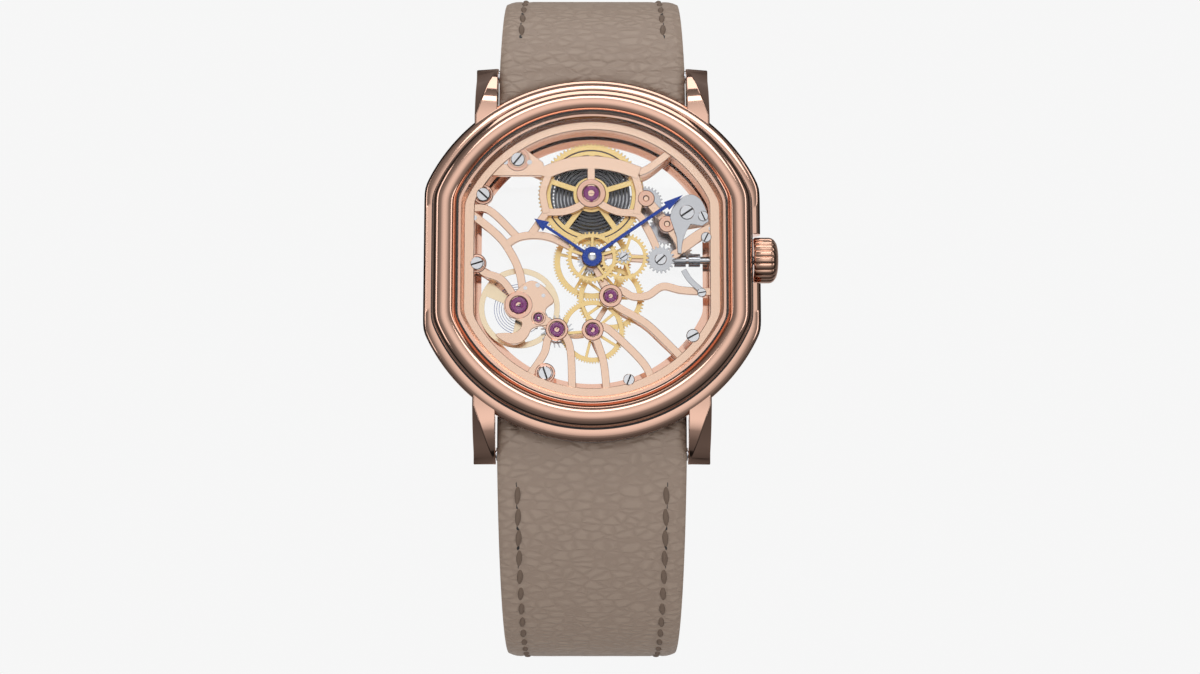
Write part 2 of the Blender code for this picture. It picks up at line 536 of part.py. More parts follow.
arbor_gear("setting_wheel", [gear_outline(20, M_SET, p_set, SETTING)], -4.97, -4.83, STEEL, SETTING,
           (0.26, -5.05, -4.2))


def hand(name, clock_angle, length, width, head_length, head_width, hub, bore_radius, y_front, y_back):
    outline = [(width / 2, 0), (width / 2, length - head_length), (head_width / 2, length - head_length),
               (0, length), (-head_width / 2, length - head_length), (-width / 2, length - head_length),
               (-width / 2, 0)]
    turn = math.radians(clock_angle)
    turned_outline = [(x * math.cos(turn) + z * math.sin(turn), z * math.cos(turn) - x * math.sin(turn))
                      for x, z in outline]
    made = prism(name, [turned_outline], y_front, y_back, BLUE)
    combine(made, "UNION", [rod("hub", CENTRE, hub, y_front, y_back, BLUE, 24)])
    return combine(made, "DIFFERENCE", [rod("bore", CENTRE, bore_radius, -7, -4, BLUE)])


hand("minute_hand", 55.4, 11.6, 0.36, 2.1, 1.0, 1.05, 0.42, -5.75, -5.6)
hand("hour_hand", 304.0, 7.35, 0.3, 1.5, 1.2, 0.95, 0.64, -5.45, -5.3)

# ---------------------------------------------------------------- keyless work
turned("winding_pinion", [(0.44, 8.7), (0.7, 8.7), (0.7, 9.9), (0.44, 9.9)], STEEL, along="X", y=STEM_Y)
turned("sliding_pinion", [(0.44, 10.2), (0.7, 10.2), (0.7, 10.6), (0.55, 10.6), (0.55, 10.9), (0.7, 10.9),
                          (0.7, 11.4), (0.44, 11.4)], STEEL, along="X", y=STEM_Y)
prism("setting_lever_spring", [[(8.2, 4.3), (9.2, 6.2), (10.4, 6.8), (11.4, 6.3), (12.0, 5.2), (12.3, 3.8),
                                (11.6, 3.4), (10.4, 3.6), (9.5, 1.6), (9.4, 0.4), (9.0, 0.5), (8.9, 2.2)]],
      -5.02, -4.86, STEEL)
prism("yoke", [strip([(11.6, -3.6), (10.3, -2.4), (9.6, -1.3)], 0.6)], -5.02, -4.86, STEEL)

# ---------------------------------------------------------------- strap
STRAP_HALF_WIDTH = 9.95
STRAP_START_RADIUS = 19.75
PATH_STEPS = 60
PATH_STEPS_PER_ROW = 4


def strap_path(start_angle, radius, end_angle, straight, length, tail_turn):
    """Points (y, z) and headings of a strap's middle line, away from the bar along +Z then back along +Y."""
    y, z, heading, run = BAR_Y, BAR_Z, start_angle, 0.0
    step = length / PATH_STEPS
    path = [(y, z, heading)]
    for _ in range(PATH_STEPS):
        if run > straight:
            heading += step / radius if heading < end_angle else tail_turn * step
        y += step * math.sin(heading)
        z += step * math.cos(heading)
        run += step
        path.append((y, z, heading))
    return path


def strap(name, path, sign, end_half_width, tip):
    """A padded band whose first rows follow the case's curve."""
    columns = 7
    rows = []
    places = path[::PATH_STEPS_PER_ROW]
    for k, (y, z, heading) in enumerate(places):
        share = min(1.0, k / (len(places) - 1))
        half = STRAP_HALF_WIDTH + (end_half_width - STRAP_HALF_WIDTH) * min(1, share / 0.85)
        if tip and k == len(places) - 1:
            half *= 0.55
        thick = 0.85 + 0.75 * max(0, 1 - share / 0.25) if share > 0 else 1.45
        rows.append((y, z, heading, half, thick))
    points = []
    inner = []
    for side in (-1, 1):
        for i in range(columns):
            x = STRAP_HALF_WIDTH * (2 * i / (columns - 1) - 1)
            reach = math.sqrt(STRAP_START_RADIUS ** 2 - x * x)
            inner.append((x, BAR_Y + side * 1.3 - 0.1, sign * min(reach, BAR_Z - 0.72)))
    points += inner
    for y, z, heading, half, thick in rows[1:]:
        for side in (-1, 1):
            for i in range(columns):
                x = half * (2 * i / (columns - 1) - 1)
                points.append((x, y + side * thick * math.cos(heading),
                               sign * (z - side * thick * math.sin(heading))))
    faces = []
    ring = 2 * columns
    order = list(range(columns)) + list(range(ring - 1, columns - 1, -1))
    for k in range(len(rows) - 1):
        for a, b in zip(order, order[1:] + order[:1]):
            faces.append((k * ring + a, k * ring + b, (k + 1) * ring + b, (k + 1) * ring + a))
    for k in (0, len(rows) - 1):
        for i in range(columns - 1):
            faces.append((k * ring + i, k * ring + i + 1, k * ring + columns + i + 1, k * ring + columns + i))
    made = solid(name, points, faces, LEATHER, (0, BAR_Y, sign * BAR_Z))
    tunnel = turned("tunnel", [(0, -12), (0.74, -12), (0.74, 12), (0, 12)], LEATHER, along="X", y=BAR_Y,
                    segments=12)
    tunnel.location.z = sign * BAR_Z
    return combine(made, "DIFFERENCE", [tunnel])


LONG_PATH = strap_path(0.0, 19.3, math.radians(90), 1.3, 115, 0.003)
SHORT_PATH = strap_path(math.radians(14), 14.0, math.radians(84), 1.0, 76, 0.0)
strap("strap_6", LONG_PATH, -1, 8.0, True)
strap("strap_12", SHORT_PATH, 1, 8.2, False)

end_y, end_z, end_heading = SHORT_PATH[-1]
ALONG = Vector((0, math.sin(end_heading), math.cos(end_heading)))
OUT = Vector((0, -math.cos(end_heading), math.sin(end_heading)))


def placed(obj, at):
    """Moves a piece made at the origin, lying in the XY plane, to the strap's end."""
    turn = Matrix((Vector((1, 0, 0)), ALONG, OUT)).transposed().to_4x4()
    obj.data.transform(turn @ Matrix.Translation(obj.location))
    obj.location = at
    return obj


def at_strap(distance):
    return Vector((0, end_y, end_z)) + ALONG * distance


for sx in (-1, 1):
    loop = turned("loop", [(0, 1.3 * sx), (1.1, 1.3 * sx), (1.1, 8 * sx), (0, 8 * sx)], LEATHER, along="X")
    placed(loop, at_strap(1.0))
    combine(bpy.data.objects["strap_12"], "UNION", [loop])
eye = turned("eye", [(0, -12), (0.46, -12), (0.46, 12), (0, 12)], LEATHER, along="X", segments=12)
placed(eye, at_strap(1.0))
combine(bpy.data.objects["strap_12"], "DIFFERENCE", [eye])
pin = turned("buckle_bar", [(0, -10.4), (0.42, -10.4), (0.42, 10.4), (0, 10.4)], ROSE, along="X", segments=12)
placed(pin, at_strap(1.0))


def frame_loop(half_width, length, start, corner):
    return [(-half_width, start), (half_width, start), (half_width, start + length - corner),
            (half_width - corner, start + length), (corner - half_width, start + length),
            (-half_width, start + length - corner)]


def flat_piece(name, loops, low, high, mat):
    """A plate in the XY plane from height low to high."""
    made = prism(name, loops, -high, -low, mat)
    made.data.transform(Matrix.Rotation(math.pi / 2, 4, "X").inverted())
    return made


frame_solid = flat_piece("buckle_frame", [frame_loop(10.9, 9.0, -1.4, 2.0)], -0.85, 0.5, ROSE)
combine(frame_solid, "DIFFERENCE", [
    flat_piece("gap", [frame_loop(9.0, 8.6, -3.0, 1.4)], -2.0, 2.0, ROSE),
    turned("eye", [(0, -12.5), (0.46, -12.5), (0.46, 12.5), (0, 12.5)], ROSE, along="X", segments=18)])
placed(frame_solid, at_strap(1.0))
tang = turned("buckle_tang", [(0.46, -0.6), (0.88, -0.6), (0.88, 0.6), (0.46, 0.6)], ROSE, along="X")
arm = block("arm", (-0.5, 0.62, 0.57), (0.5, 7.2, 0.95), ROSE)
combine(tang, "UNION", [arm])
placed(tang, at_strap(1.0))
for label, distance in (("fixed_keeper", -6.0), ("free_keeper", -14.0)):
    loop = flat_piece(label, [[(-9.9, -1.9), (9.9, -1.9), (9.9, 1.9), (-9.9, 1.9)]], -2.4, 2.4, LEATHER)
    combine(loop, "DIFFERENCE", [block("gap", (-9.0, -5, -1.4), (9.0, 5, 1.4), LEATHER)])
    placed(loop, at_strap(distance))

for obj in bpy.data.objects:
    obj.data.transform(Matrix.Scale(0.001, 4))
    obj.location *= 0.001
    for polygon in obj.data.polygons:
        polygon.use_smooth = True
    obj.data.set_sharp_from_angle(angle=math.radians(32))
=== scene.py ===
"""The look of a rose-gold dress wristwatch with a skeleton movement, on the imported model's frame.

Shapes are laid out in mm in the row frame: +X is 3 o'clock, +Z is 12 o'clock and the dial faces -Y.
"""

import json
import math

import bmesh
import bpy
from mathutils import Matrix, Vector
from mathutils.geometry import tessellate_polygon

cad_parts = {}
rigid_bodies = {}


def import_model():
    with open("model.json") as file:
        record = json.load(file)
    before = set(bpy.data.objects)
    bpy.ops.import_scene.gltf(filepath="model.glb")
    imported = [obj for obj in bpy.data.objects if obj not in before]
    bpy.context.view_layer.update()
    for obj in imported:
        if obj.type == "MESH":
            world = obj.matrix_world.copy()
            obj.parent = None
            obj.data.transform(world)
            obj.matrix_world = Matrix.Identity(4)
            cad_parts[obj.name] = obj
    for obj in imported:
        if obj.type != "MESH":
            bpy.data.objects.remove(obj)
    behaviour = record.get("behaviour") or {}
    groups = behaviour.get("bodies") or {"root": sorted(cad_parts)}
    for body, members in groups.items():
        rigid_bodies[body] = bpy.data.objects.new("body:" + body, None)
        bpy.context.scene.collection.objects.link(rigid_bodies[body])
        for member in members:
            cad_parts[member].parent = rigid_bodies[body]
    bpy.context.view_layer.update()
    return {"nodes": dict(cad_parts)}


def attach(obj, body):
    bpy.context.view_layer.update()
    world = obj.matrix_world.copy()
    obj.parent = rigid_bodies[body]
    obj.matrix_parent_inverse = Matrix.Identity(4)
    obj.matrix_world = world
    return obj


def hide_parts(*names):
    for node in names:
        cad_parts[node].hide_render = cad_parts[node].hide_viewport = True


TAU = 2 * math.pi

# Axes of the movement, (x, z) in mm
CENTRE = (0.0, 0.0)
BARREL = (-0.1, 6.96)
THIRD = (1.95, -4.02)
FOURTH = (0.06, -7.62)
ESCAPE = (-3.68, -7.57)
PALLET = (-5.61, -6.35)
BALANCE = (-7.69, -5.0)
MINUTE = (3.33, 0.1)
IDLER_A = (5.703, 6.4)
IDLER_B = (7.9, 3.66)
CROWN_WHEEL = (9.3, 1.0)
SETTING = (7.2, -0.16)
STEM_Y = -3.4
BAR_Y = -1.7
BAR_Z = 20.4

for old in list(bpy.data.objects):
    bpy.data.objects.remove(old, do_unlink=True)
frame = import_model()


# ---------------------------------------------------------------- materials
def nodes_of(mat):
    """A material's node tree and its shader."""
    tree = mat.node_tree
    return tree, tree.nodes["Principled BSDF"]


def material(name, colour, roughness, metallic=0.0, coat=0.0):
    made = bpy.data.materials.new(name)
    made.use_nodes = True
    shader = made.node_tree.nodes["Principled BSDF"]
    shader.inputs["Base Color"].default_value = (*colour, 1)
    shader.inputs["Roughness"].default_value = roughness
    shader.inputs["Metallic"].default_value = metallic
    shader.inputs["Coat Weight"].default_value = coat
    return made


def brushed(mat, stretch, strength):
    """Fine lines along one way, as a bump from stretched noise."""
    tree, shader = nodes_of(mat)
    place = tree.nodes.new("ShaderNodeTexCoord")
    mapping = tree.nodes.new("ShaderNodeMapping")
    mapping.inputs["Scale"].default_value = stretch
    noise = tree.nodes.new("ShaderNodeTexNoise")
    noise.inputs["Scale"].default_value = 1.0
    noise.inputs["Detail"].default_value = 2.0
    bump = tree.nodes.new("ShaderNodeBump")
    bump.inputs["Strength"].default_value = strength
    bump.inputs["Distance"].default_value = 0.00002
    tree.links.new(place.outputs["Object"], mapping.inputs["Vector"])
    tree.links.new(mapping.outputs["Vector"], noise.inputs["Vector"])
    tree.links.new(noise.outputs["Fac"], bump.inputs["Height"])
    tree.links.new(bump.outputs["Normal"], shader.inputs["Normal"])
    return mat


ROSE = material("rose_gold_polished", (0.83, 0.52, 0.40), 0.09, 1)
CROWN_GOLD = material("crown_gold", (0.82, 0.50, 0.37), 0.16, 1)
PLATE = brushed(material("plate_gold", (0.90, 0.64, 0.49), 0.26, 1), (9000, 9000, 500), 0.35)
# Polished gold for the bars' side walls and bevels. Its colour is darker than the flats' gold, which is
# painted shade.
BAR_SIDE_SHADED = material("bar_side_shaded_gold", (0.74, 0.42, 0.26), 0.14, 1)
YELLOW = material("yellow_gold", (0.90, 0.66, 0.30), 0.24, 1)
PALE = material("pale_gold", (0.90, 0.74, 0.52), 0.2, 1)
STEEL = material("polished_steel", (0.60, 0.61, 0.64), 0.2, 1)
BRIGHT = material("bright_steel", (0.72, 0.73, 0.76), 0.14, 1)
DARK = material("dark_steel", (0.09, 0.09, 0.10), 0.3, 1)
BLUE = material("blued_steel", (0.015, 0.05, 0.30), 0.22, 0.6)
RUBY = material("ruby", (0.17, 0.022, 0.13), 0.06, 0.0, 0.5)
# The crystal gasket's own black, also used as painted shade in the seam between the bezel and the case band.
GASKET_AND_SEAM_SHADE = material("gasket_black_and_seam_shade", (0.012, 0.012, 0.012), 0.35)
SHADE = material("slot_shade", (0.02, 0.018, 0.018), 0.6)
THREAD = material("stitch_thread", (0.135, 0.092, 0.066), 0.8)
EDGE = material("painted_edge", (0.17, 0.125, 0.095), 0.5)
LINING = material("lining_leather", (0.36, 0.27, 0.20), 0.7)


def crystal_material():
    """Nearly clear, with the faint reflection of a coated sapphire."""
    made = bpy.data.materials.new("sapphire")
    made.use_nodes = True
    tree = made.node_tree
    tree.nodes.clear()
    clear = tree.nodes.new("ShaderNodeBsdfTransparent")
    gloss = tree.nodes.new("ShaderNodeBsdfGlossy")
    gloss.inputs["Roughness"].default_value = 0.0
    mix = tree.nodes.new("ShaderNodeMixShader")
    mix.inputs["Fac"].default_value = 0.012
    out = tree.nodes.new("ShaderNodeOutputMaterial")
    tree.links.new(clear.outputs["BSDF"], mix.inputs[1])
    tree.links.new(gloss.outputs["BSDF"], mix.inputs[2])
    tree.links.new(mix.outputs["Shader"], out.inputs["Surface"])
    return made


def leather_material():
    """Pebbled calf: wide, flat cells with the creases between them darkened by painted shade, laid out on the
    strap's own UV map.
    """
    made = material("pebbled_leather", (0.3, 0.22, 0.17), 0.5)
    tree, shader = nodes_of(made)
    uv = tree.nodes.new("ShaderNodeUVMap")
    uv.uv_map = "flat"
    mapping = tree.nodes.new("ShaderNodeMapping")
    mapping.inputs["Scale"].default_value = (860, 1650, 1)
    warp = tree.nodes.new("ShaderNodeTexNoise")
    warp.inputs["Scale"].default_value = 0.9
    mixed = tree.nodes.new("ShaderNodeMix")
    mixed.data_type = "VECTOR"
    mixed.inputs["Factor"].default_value = 0.28
    cells = tree.nodes.new("ShaderNodeTexVoronoi")
    cells.feature = "DISTANCE_TO_EDGE"
    cells.inputs["Scale"].default_value = 1.0
    ramp = tree.nodes.new("ShaderNodeMapRange")
    ramp.inputs["From Max"].default_value = 0.28
    ramp.interpolation_type = "SMOOTHSTEP"
    fine = tree.nodes.new("ShaderNodeTexNoise")
    fine.inputs["Scale"].default_value = 7.0
    fine.inputs["Detail"].default_value = 3.0
    height = tree.nodes.new("ShaderNodeMath")
    height.operation = "MULTIPLY_ADD"
    height.inputs[1].default_value = 0.22
    bump = tree.nodes.new("ShaderNodeBump")
    bump.inputs["Strength"].default_value = 0.6
    bump.inputs["Distance"].default_value = 0.00012
    # Painted shade: the colour is darker toward the cells' edges, in the creases between them.
    colour = tree.nodes.new("ShaderNodeMix")
    colour.data_type = "RGBA"
    colour.inputs["A"].default_value = (0.256, 0.189, 0.146, 1)
    colour.inputs["B"].default_value = (0.288, 0.217, 0.169, 1)
    links = tree.links
    links.new(uv.outputs["UV"], mapping.inputs["Vector"])
    links.new(mapping.outputs["Vector"], warp.inputs["Vector"])
    links.new(mapping.outputs["Vector"], mixed.inputs["A"])
    links.new(warp.outputs["Color"], mixed.inputs["B"])
    links.new(mixed.outputs["Result"], cells.inputs["Vector"])
    links.new(mapping.outputs["Vector"], fine.inputs["Vector"])
    links.new(cells.outputs["Distance"], ramp.inputs["Value"])
    links.new(fine.outputs["Fac"], height.inputs[0])
    links.new(ramp.outputs["Result"], height.inputs[2])
    links.new(height.outputs["Value"], bump.inputs["Height"])
    links.new(ramp.outputs["Result"], colour.inputs["Factor"])
    links.new(colour.outputs["Result"], shader.inputs["Base Color"])
    links.new(bump.outputs["Normal"], shader.inputs["Normal"])
    return made


SAPPHIRE = crystal_material()
LEATHER = leather_material()


# ---------------------------------------------------------------- building
def solid(points, faces):
    """A bmesh from points in mm, with its faces turned outward."""
    bm = bmesh.new()
    verts = [bm.verts.new(p) for p in points]
    for face in faces:
        bm.faces.new([verts[i] for i in face])
    bmesh.ops.recalc_face_normals(bm, faces=bm.faces)
    return bm


def piece(name, shapes, mat, body, node=None, bevel=0.0, sharp=32, segments=2):
    """Joins shapes (bmeshes, in mm) into one piece that rides on a body and stands for a CAD node."""
    whole = bpy.data.meshes.new(name)
    bm = bmesh.new()
    for shape in shapes:
        part = bpy.data.meshes.new("part")
        shape.to_mesh(part)
        shape.free()
        bm.from_mesh(part)
        bpy.data.meshes.remove(part)
    bm.to_mesh(whole)
    bm.free()
    whole.transform(Matrix.Scale(0.001, 4))
    whole.materials.append(mat)
    for polygon in whole.polygons:
        polygon.use_smooth = True
    whole.set_sharp_from_angle(angle=math.radians(sharp))
    obj = bpy.data.objects.new(name, whole)
    bpy.context.scene.collection.objects.link(obj)
    if bevel:
        round_off = obj.modifiers.new("bevel", "BEVEL")
        round_off.width = bevel * 0.001
        round_off.segments = segments
        round_off.limit_method = "ANGLE"
        round_off.angle_limit = math.radians(38)
        round_off.harden_normals = False
    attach(obj, body)
    if node:
        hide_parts(node)
    return obj


def prism(loops, y_front, y_back):
    """A flat shape in (x, z), whose inner loops are holes, between two depths."""
    flat = [p for loop in loops for p in loop]
    count = len(flat)
    points = [(x, y_front, z) for x, z in flat] + [(x, y_back, z) for x, z in flat]
    caps = tessellate_polygon([[Vector((x, z, 0)) for x, z in loop] for loop in loops])
    faces = [tuple(t) for t in caps] + [tuple(i + count for i in t) for t in caps]
    start = 0
    for loop in loops:
        size = len(loop)
        for i in range(size):
            a, b = start + i, start + (i + 1) % size
            faces.append((a, b, b + count, a + count))
        start += size
    bm = solid(points, faces)
    bmesh.ops.dissolve_limit(bm, angle_limit=0.01, verts=bm.verts, edges=bm.edges)
    return bm


def turned(profile, axis=CENTRE, along="Y", segments=64, y=0.0, z=0.0):
    """A closed profile of (radius, position) turned about Y through (x, z), or about X through (y, z)."""
    points, rings, faces = [], [], []
    for radius, position in profile:
        steps = 1 if radius < 1e-6 else segments
        rings.append(range(len(points), len(points) + steps))
        for i in range(steps):
            c = radius * math.cos(TAU * i / segments)
            s = radius * math.sin(TAU * i / segments)
            if along == "Y":
                points.append((axis[0] + c, position, axis[1] + s))
            else:
                points.append((position, y + c, z + s))
    for ring, after in zip(rings, rings[1:] + rings[:1]):
        for i in range(segments):
            corner = [ring[i % len(ring)], ring[(i + 1) % len(ring)]]
            corner += [after[(i + 1) % len(after)], after[i % len(after)]]
            face = list(dict.fromkeys(corner))
            if len(face) > 2:
                faces.append(face)
    return solid(points, faces)


def rod(axis, radius, y_front, y_back, segments=40):
    """A plain cylinder along Y."""
    return turned([(0, y_front), (radius, y_front), (radius, y_back), (0, y_back)], axis, segments=segments)


CORNER = 150


def tube_faces(rings, size):
    """Caps at both ends, and the sides between rings of size points each."""
    faces = [tuple(range(size)), tuple(range((rings - 1) * size, rings * size))]
    for k in range(rings - 1):
        for i in range(size):
            j = (i + 1) % size
            faces.append((k * size + i, k * size + j, (k + 1) * size + j, (k + 1) * size + i))
    return faces


def oval_point(radius, half_width, angle):
    """A circle cut by two upright sides, with its corners eased; a larger CORNER is sharper."""
    flat = half_width / max(abs(math.cos(angle)), 1e-6)
    near, far = min(radius, flat), max(radius, flat)
    reach = near * (1 + (near / far) ** CORNER) ** (-1 / CORNER)
    return reach * math.cos(angle), reach * math.sin(angle)


def oval_loft(profile, closed, segments=240):
    """(radius, half width, y) carried round the case's outline; an open profile gets caps."""
    points, faces = [], []
    for radius, half_width, y in profile:
        for i in range(segments):
            x, z = oval_point(radius, half_width, TAU * (i + 0.5) / segments)
            points.append((x, y, z))
    for k in range(len(profile) if closed else len(profile) - 1):
        here, after = k * segments, (k + 1) % len(profile) * segments
        for i in range(segments):
            j = (i + 1) % segments
            faces.append((here + i, here + j, after + j, after + i))
    if not closed:
        faces += [tuple(range(segments)),
                  tuple(range((len(profile) - 1) * segments, len(profile) * segments))]
    return solid(points, faces)


def block(low, high):
    """A box between two opposite corners."""
    corners = [(x, y, z) for x in (low[0], high[0]) for y in (low[1], high[1]) for z in (low[2], high[2])]
    sides = [(0, 1, 3, 2), (4, 5, 7, 6), (0, 1, 5, 4), (2, 3, 7, 6), (0, 2, 6, 4), (1, 3, 7, 5)]
    return solid(corners, sides)


def circle(radius, centre=CENTRE, steps=48):
    return [
        (centre[0] + radius * math.cos(TAU * i / steps), centre[1] + radius * math.sin(TAU * i / steps))
        for i in range(steps)
    ]


def smooth_line(points, steps=8):
    """Catmull-Rom points through the given ones."""
    if len(points) < 3:
        return list(points)
    padded = [points[0], *points, points[-1]]
    line = []
    for a, b, c, d in zip(padded, padded[1:], padded[2:], padded[3:]):
        for i in range(steps):
            t = i / steps
            line.append(tuple(
                0.5 * (2 * q + (r - p) * t + (2 * p - 5 * q + 4 * r - s) * t * t
                       + (3 * q - p - 3 * r + s) * t ** 3)
                for p, q, r, s in zip(a, b, c, d)
            ))
    return line + [points[-1]]


def strip(points, width, steps=8):
    """The outline of a band of one width along a smoothed line."""
    line = [Vector(p) for p in smooth_line(points, steps)]
    left, right = [], []
    for i, here in enumerate(line):
        way = (line[min(i + 1, len(line) - 1)] - line[max(i - 1, 0)]).normalized()
        side = Vector((-way.y, way.x)) * width / 2
        left.append(tuple(here + side))
        right.append(tuple(here - side))
    return left + right[::-1]


def gear_outline(teeth, module, phase=0.0, centre=CENTRE):
    """Teeth with rounded tips and flat valleys."""
    shape = ((-0.36, -1.05), (-0.25, -0.5), (-0.2, 0.3), (-0.1, 0.8), (0.1, 0.8), (0.2, 0.3), (0.25, -0.5),
             (0.36, -1.05))
    outline = []
    for k in range(teeth):
        for share, height in shape:
            angle = TAU * (k + share) / teeth + phase
            r = teeth * module / 2 + height * module
            outline.append((centre[0] + r * math.cos(angle), centre[1] + r * math.sin(angle)))
    return outline


def windows(centre, inner, outer, count, spoke, phase=0.0, steps=14, flare=1.0):
    """Openings between spokes, which are flare times as wide at the rim."""
    loops = []
    for k in range(count):
        start, end = phase + TAU * k / count, phase + TAU * (k + 1) / count
        arc = []
        for radius, wide, order in ((outer, spoke * flare, 1), (inner, spoke, -1)):
            inset = math.asin(wide / 2 / radius)
            a, b = start + inset, end - inset
            points = [a + (b - a) * i / steps for i in range(steps + 1)][::order]
            arc += [(centre[0] + radius * math.cos(t), centre[1] + radius * math.sin(t)) for t in points]
        loops.append(arc)
    return loops


def meshed(teeth, phase, centre, other_teeth, other_centre):
    """The phase that puts a gap of the second gear over a tooth of the first."""
    way = math.atan2(other_centre[1] - centre[1], other_centre[0] - centre[0])
    return way + math.pi - (phase - way) * teeth / other_teeth + math.pi / other_teeth


def screw(name, at, radius, top, body, angle=0.0, node=None, depth=0.45):
    """A polished cheese head with a bevelled rim and a dark slot."""
    edge = radius * 0.12
    head = turned([(0, top), (radius - edge, top), (radius, top + edge), (radius, top + depth),
                   (0, top + depth)], at)
    made = piece(name, [head], BRIGHT, body, node)
    way = Vector((math.cos(angle), math.sin(angle)))
    side = Vector((-way.y, way.x)) * radius * 0.13
    reach = way * (radius - edge * 0.6)
    here = Vector(at)
    outline = [tuple(here + reach + side), tuple(here - reach + side), tuple(here - reach - side),
               tuple(here + reach - side)]
    piece(name + "_slot", [prism([outline], top - 0.004, top + 0.02)], SHADE, body)
    return made


# ---------------------------------------------------------------- case, bezel and crystals
# Turned profiles round the oval: (radius, half width, y)
CASE = [
    (18.2, 16.9, -4.92), (18.75, 17.3, -4.9), (19.0, 17.5, -4.78), (19.0, 17.5, -4.62), (19.12, 17.6, -4.55),
    (19.28, 17.73, -4.4), (19.3, 17.75, -4.2), (19.3, 17.75, -3.5), (19.2, 17.65, -3.2), (18.9, 17.3, -2.85),
    (18.55, 16.95, -2.0), (18.2, 16.6, -1.22), (15.3, 14.2, -1.22), (15.3, 14.2, -4.92),
]
# A lug seen from the side, (z, y): first its front face, then its tip and back
LUG_SIDE = [
    (14.0, -4.6), (15.5, -4.72), (17.0, -4.75), (17.9, -4.6), (18.7, -4.3), (19.5, -3.85), (20.2, -3.3),
    (20.8, -2.6), (21.25, -1.9), (21.45, -1.3), (21.3, -0.7), (20.6, -0.45), (18.0, -1.0), (14.0, -1.6),
]
LUG_FRONT_POINTS = 10
LUG_INNER_X, LUG_OUTER_X = 10.1, 12.5
mid_case = piece("case_band", [oval_loft(CASE, True)], ROSE, "case", "mid_case", sharp=28)
notch = bpy.data.objects.new("notch_cutter", bpy.data.meshes.new("notch_cutter"))
shape = block((16.8, -7, -2.65), (19, 1, 2.65))
shape.to_mesh(notch.data)
shape.free()
notch.data.transform(Matrix.Scale(0.001, 4))
cut = mid_case.modifiers.new("notch", "BOOLEAN")
cut.operation = "DIFFERENCE"
cut.solver = "EXACT"
bpy.context.scene.collection.objects.link(notch)
cut.object = notch
bpy.context.view_layer.update()
carved = bpy.data.meshes.new_from_object(mid_case.evaluated_get(bpy.context.evaluated_depsgraph_get()))
mid_case.modifiers.clear()
mid_case.data = carved
bpy.data.objects.remove(notch)
for sx in (-1, 1):
    for sz in (-1, 1):
        points = [(sx * LUG_INNER_X, y, sz * z) for z, y in LUG_SIDE]
        front = LUG_SIDE[:LUG_FRONT_POINTS]
        # The ridge of the front face runs inward toward the tip, and a facet falls away outside it
        ridge = [12.35 - 1.95 * min(1, max(0, (z - 15.5) / 5.5)) if (z, y) in front else 11.4 for z,
                 y in LUG_SIDE]
        points += [(sx * x, y, sz * z) for x, (z, y) in zip(ridge, LUG_SIDE)]
        points += [(sx * LUG_OUTER_X, min(y + 1.25 * (LUG_OUTER_X - x), -0.85) if (z, y) in front else y,
                    sz * z)
                   for x, (z, y) in zip(ridge, LUG_SIDE)]
        n = len(LUG_SIDE)
        sides = [tuple(range(n)), tuple(range(2 * n, 3 * n))]
        sides += [(m + i, m + (i + 1) % n, m + n + (i + 1) % n, m + n + i) for m in (0, n) for i in range(n)]
        label = f"lug_{'12' if sz > 0 else '6'}_{'right' if sx > 0 else 'left'}"
        piece(label, [solid(points, sides)], ROSE, "case", bevel=0.12, sharp=24, segments=3)

BEZEL = [(15.5, 14.16, -6.06), (15.5, 14.16, -6.62), (15.58, 14.24, -6.68)]
for i in range(15):
    turn = math.radians(-62 + 150 * i / 14)
    BEZEL.append((16.72 + 1.26 * math.sin(turn), 15.46 + 1.27 * math.sin(turn),
                  -5.75 - 0.94 * math.cos(turn)))
BEZEL += [(17.95, 16.7, -5.2), (17.88, 16.63, -4.93), (15.3, 14.2, -4.93), (15.2, 14.1, -5.01),
          (14.65, 13.4, -5.06), (14.68, 13.44, -5.12), (15.0, 13.76, -6.06)]
piece("bezel_ring", [oval_loft(BEZEL, True)], ROSE, "case", "bezel", sharp=30)
# Painted shade: a thin black ring fills the seam between the bezel and the case band, where shade falls.
piece("bezel_seam_shade", [oval_loft([(17.8, 16.5, -4.94), (18.15, 16.9, -4.94), (18.15, 16.9, -4.9),
    (17.8, 16.5, -4.9)], True)],
      GASKET_AND_SEAM_SHADE, "case")
piece("gasket_ring", [oval_loft([(15.49, 14.15, -6.64), (15.36, 14.02, -6.64), (15.36, 14.02, -6.07),
                                 (15.49, 14.15, -6.07)], True)], GASKET_AND_SEAM_SHADE, "case", "crystal_gasket")
piece("front_glass", [oval_loft([(15.1, 13.76, -6.88), (15.35, 14.01, -6.78), (15.35, 14.01, -6.5)], False)],
      SAPPHIRE, "case", "crystal_front")
piece("back_ring", [oval_loft([(18.1, 16.5, -1.18), (17.95, 16.35, -0.8), (17.6, 16.0, -0.35),
    (17.1, 15.5, -0.03),
                               (13.4, 12.3, 0.0), (13.3, 12.2, -0.15), (13.3, 12.2, -1.0), (12.9, 11.8, -1.0),
                               (12.9, 11.8, -1.18)], True)], ROSE, "case", "case_back", sharp=28)
piece("back_glass", [oval_loft([(13.27, 12.17, -0.5), (13.27, 12.17, -0.15), (13.1, 12.0, 0.0)], False)],
      SAPPHIRE, "case", "case_back_crystal")

# ---------------------------------------------------------------- crown
CROWN_POINTS, POINTS_PER_FLUTE, FLUTE_DEPTH = 200, 10, 0.052
rim = []
for i in range(CROWN_POINTS):
    phase = (i % POINTS_PER_FLUTE) / POINTS_PER_FLUTE
    rim.append(1.0 - FLUTE_DEPTH * (1 - abs(math.sin(math.pi * phase))) ** 1.6)
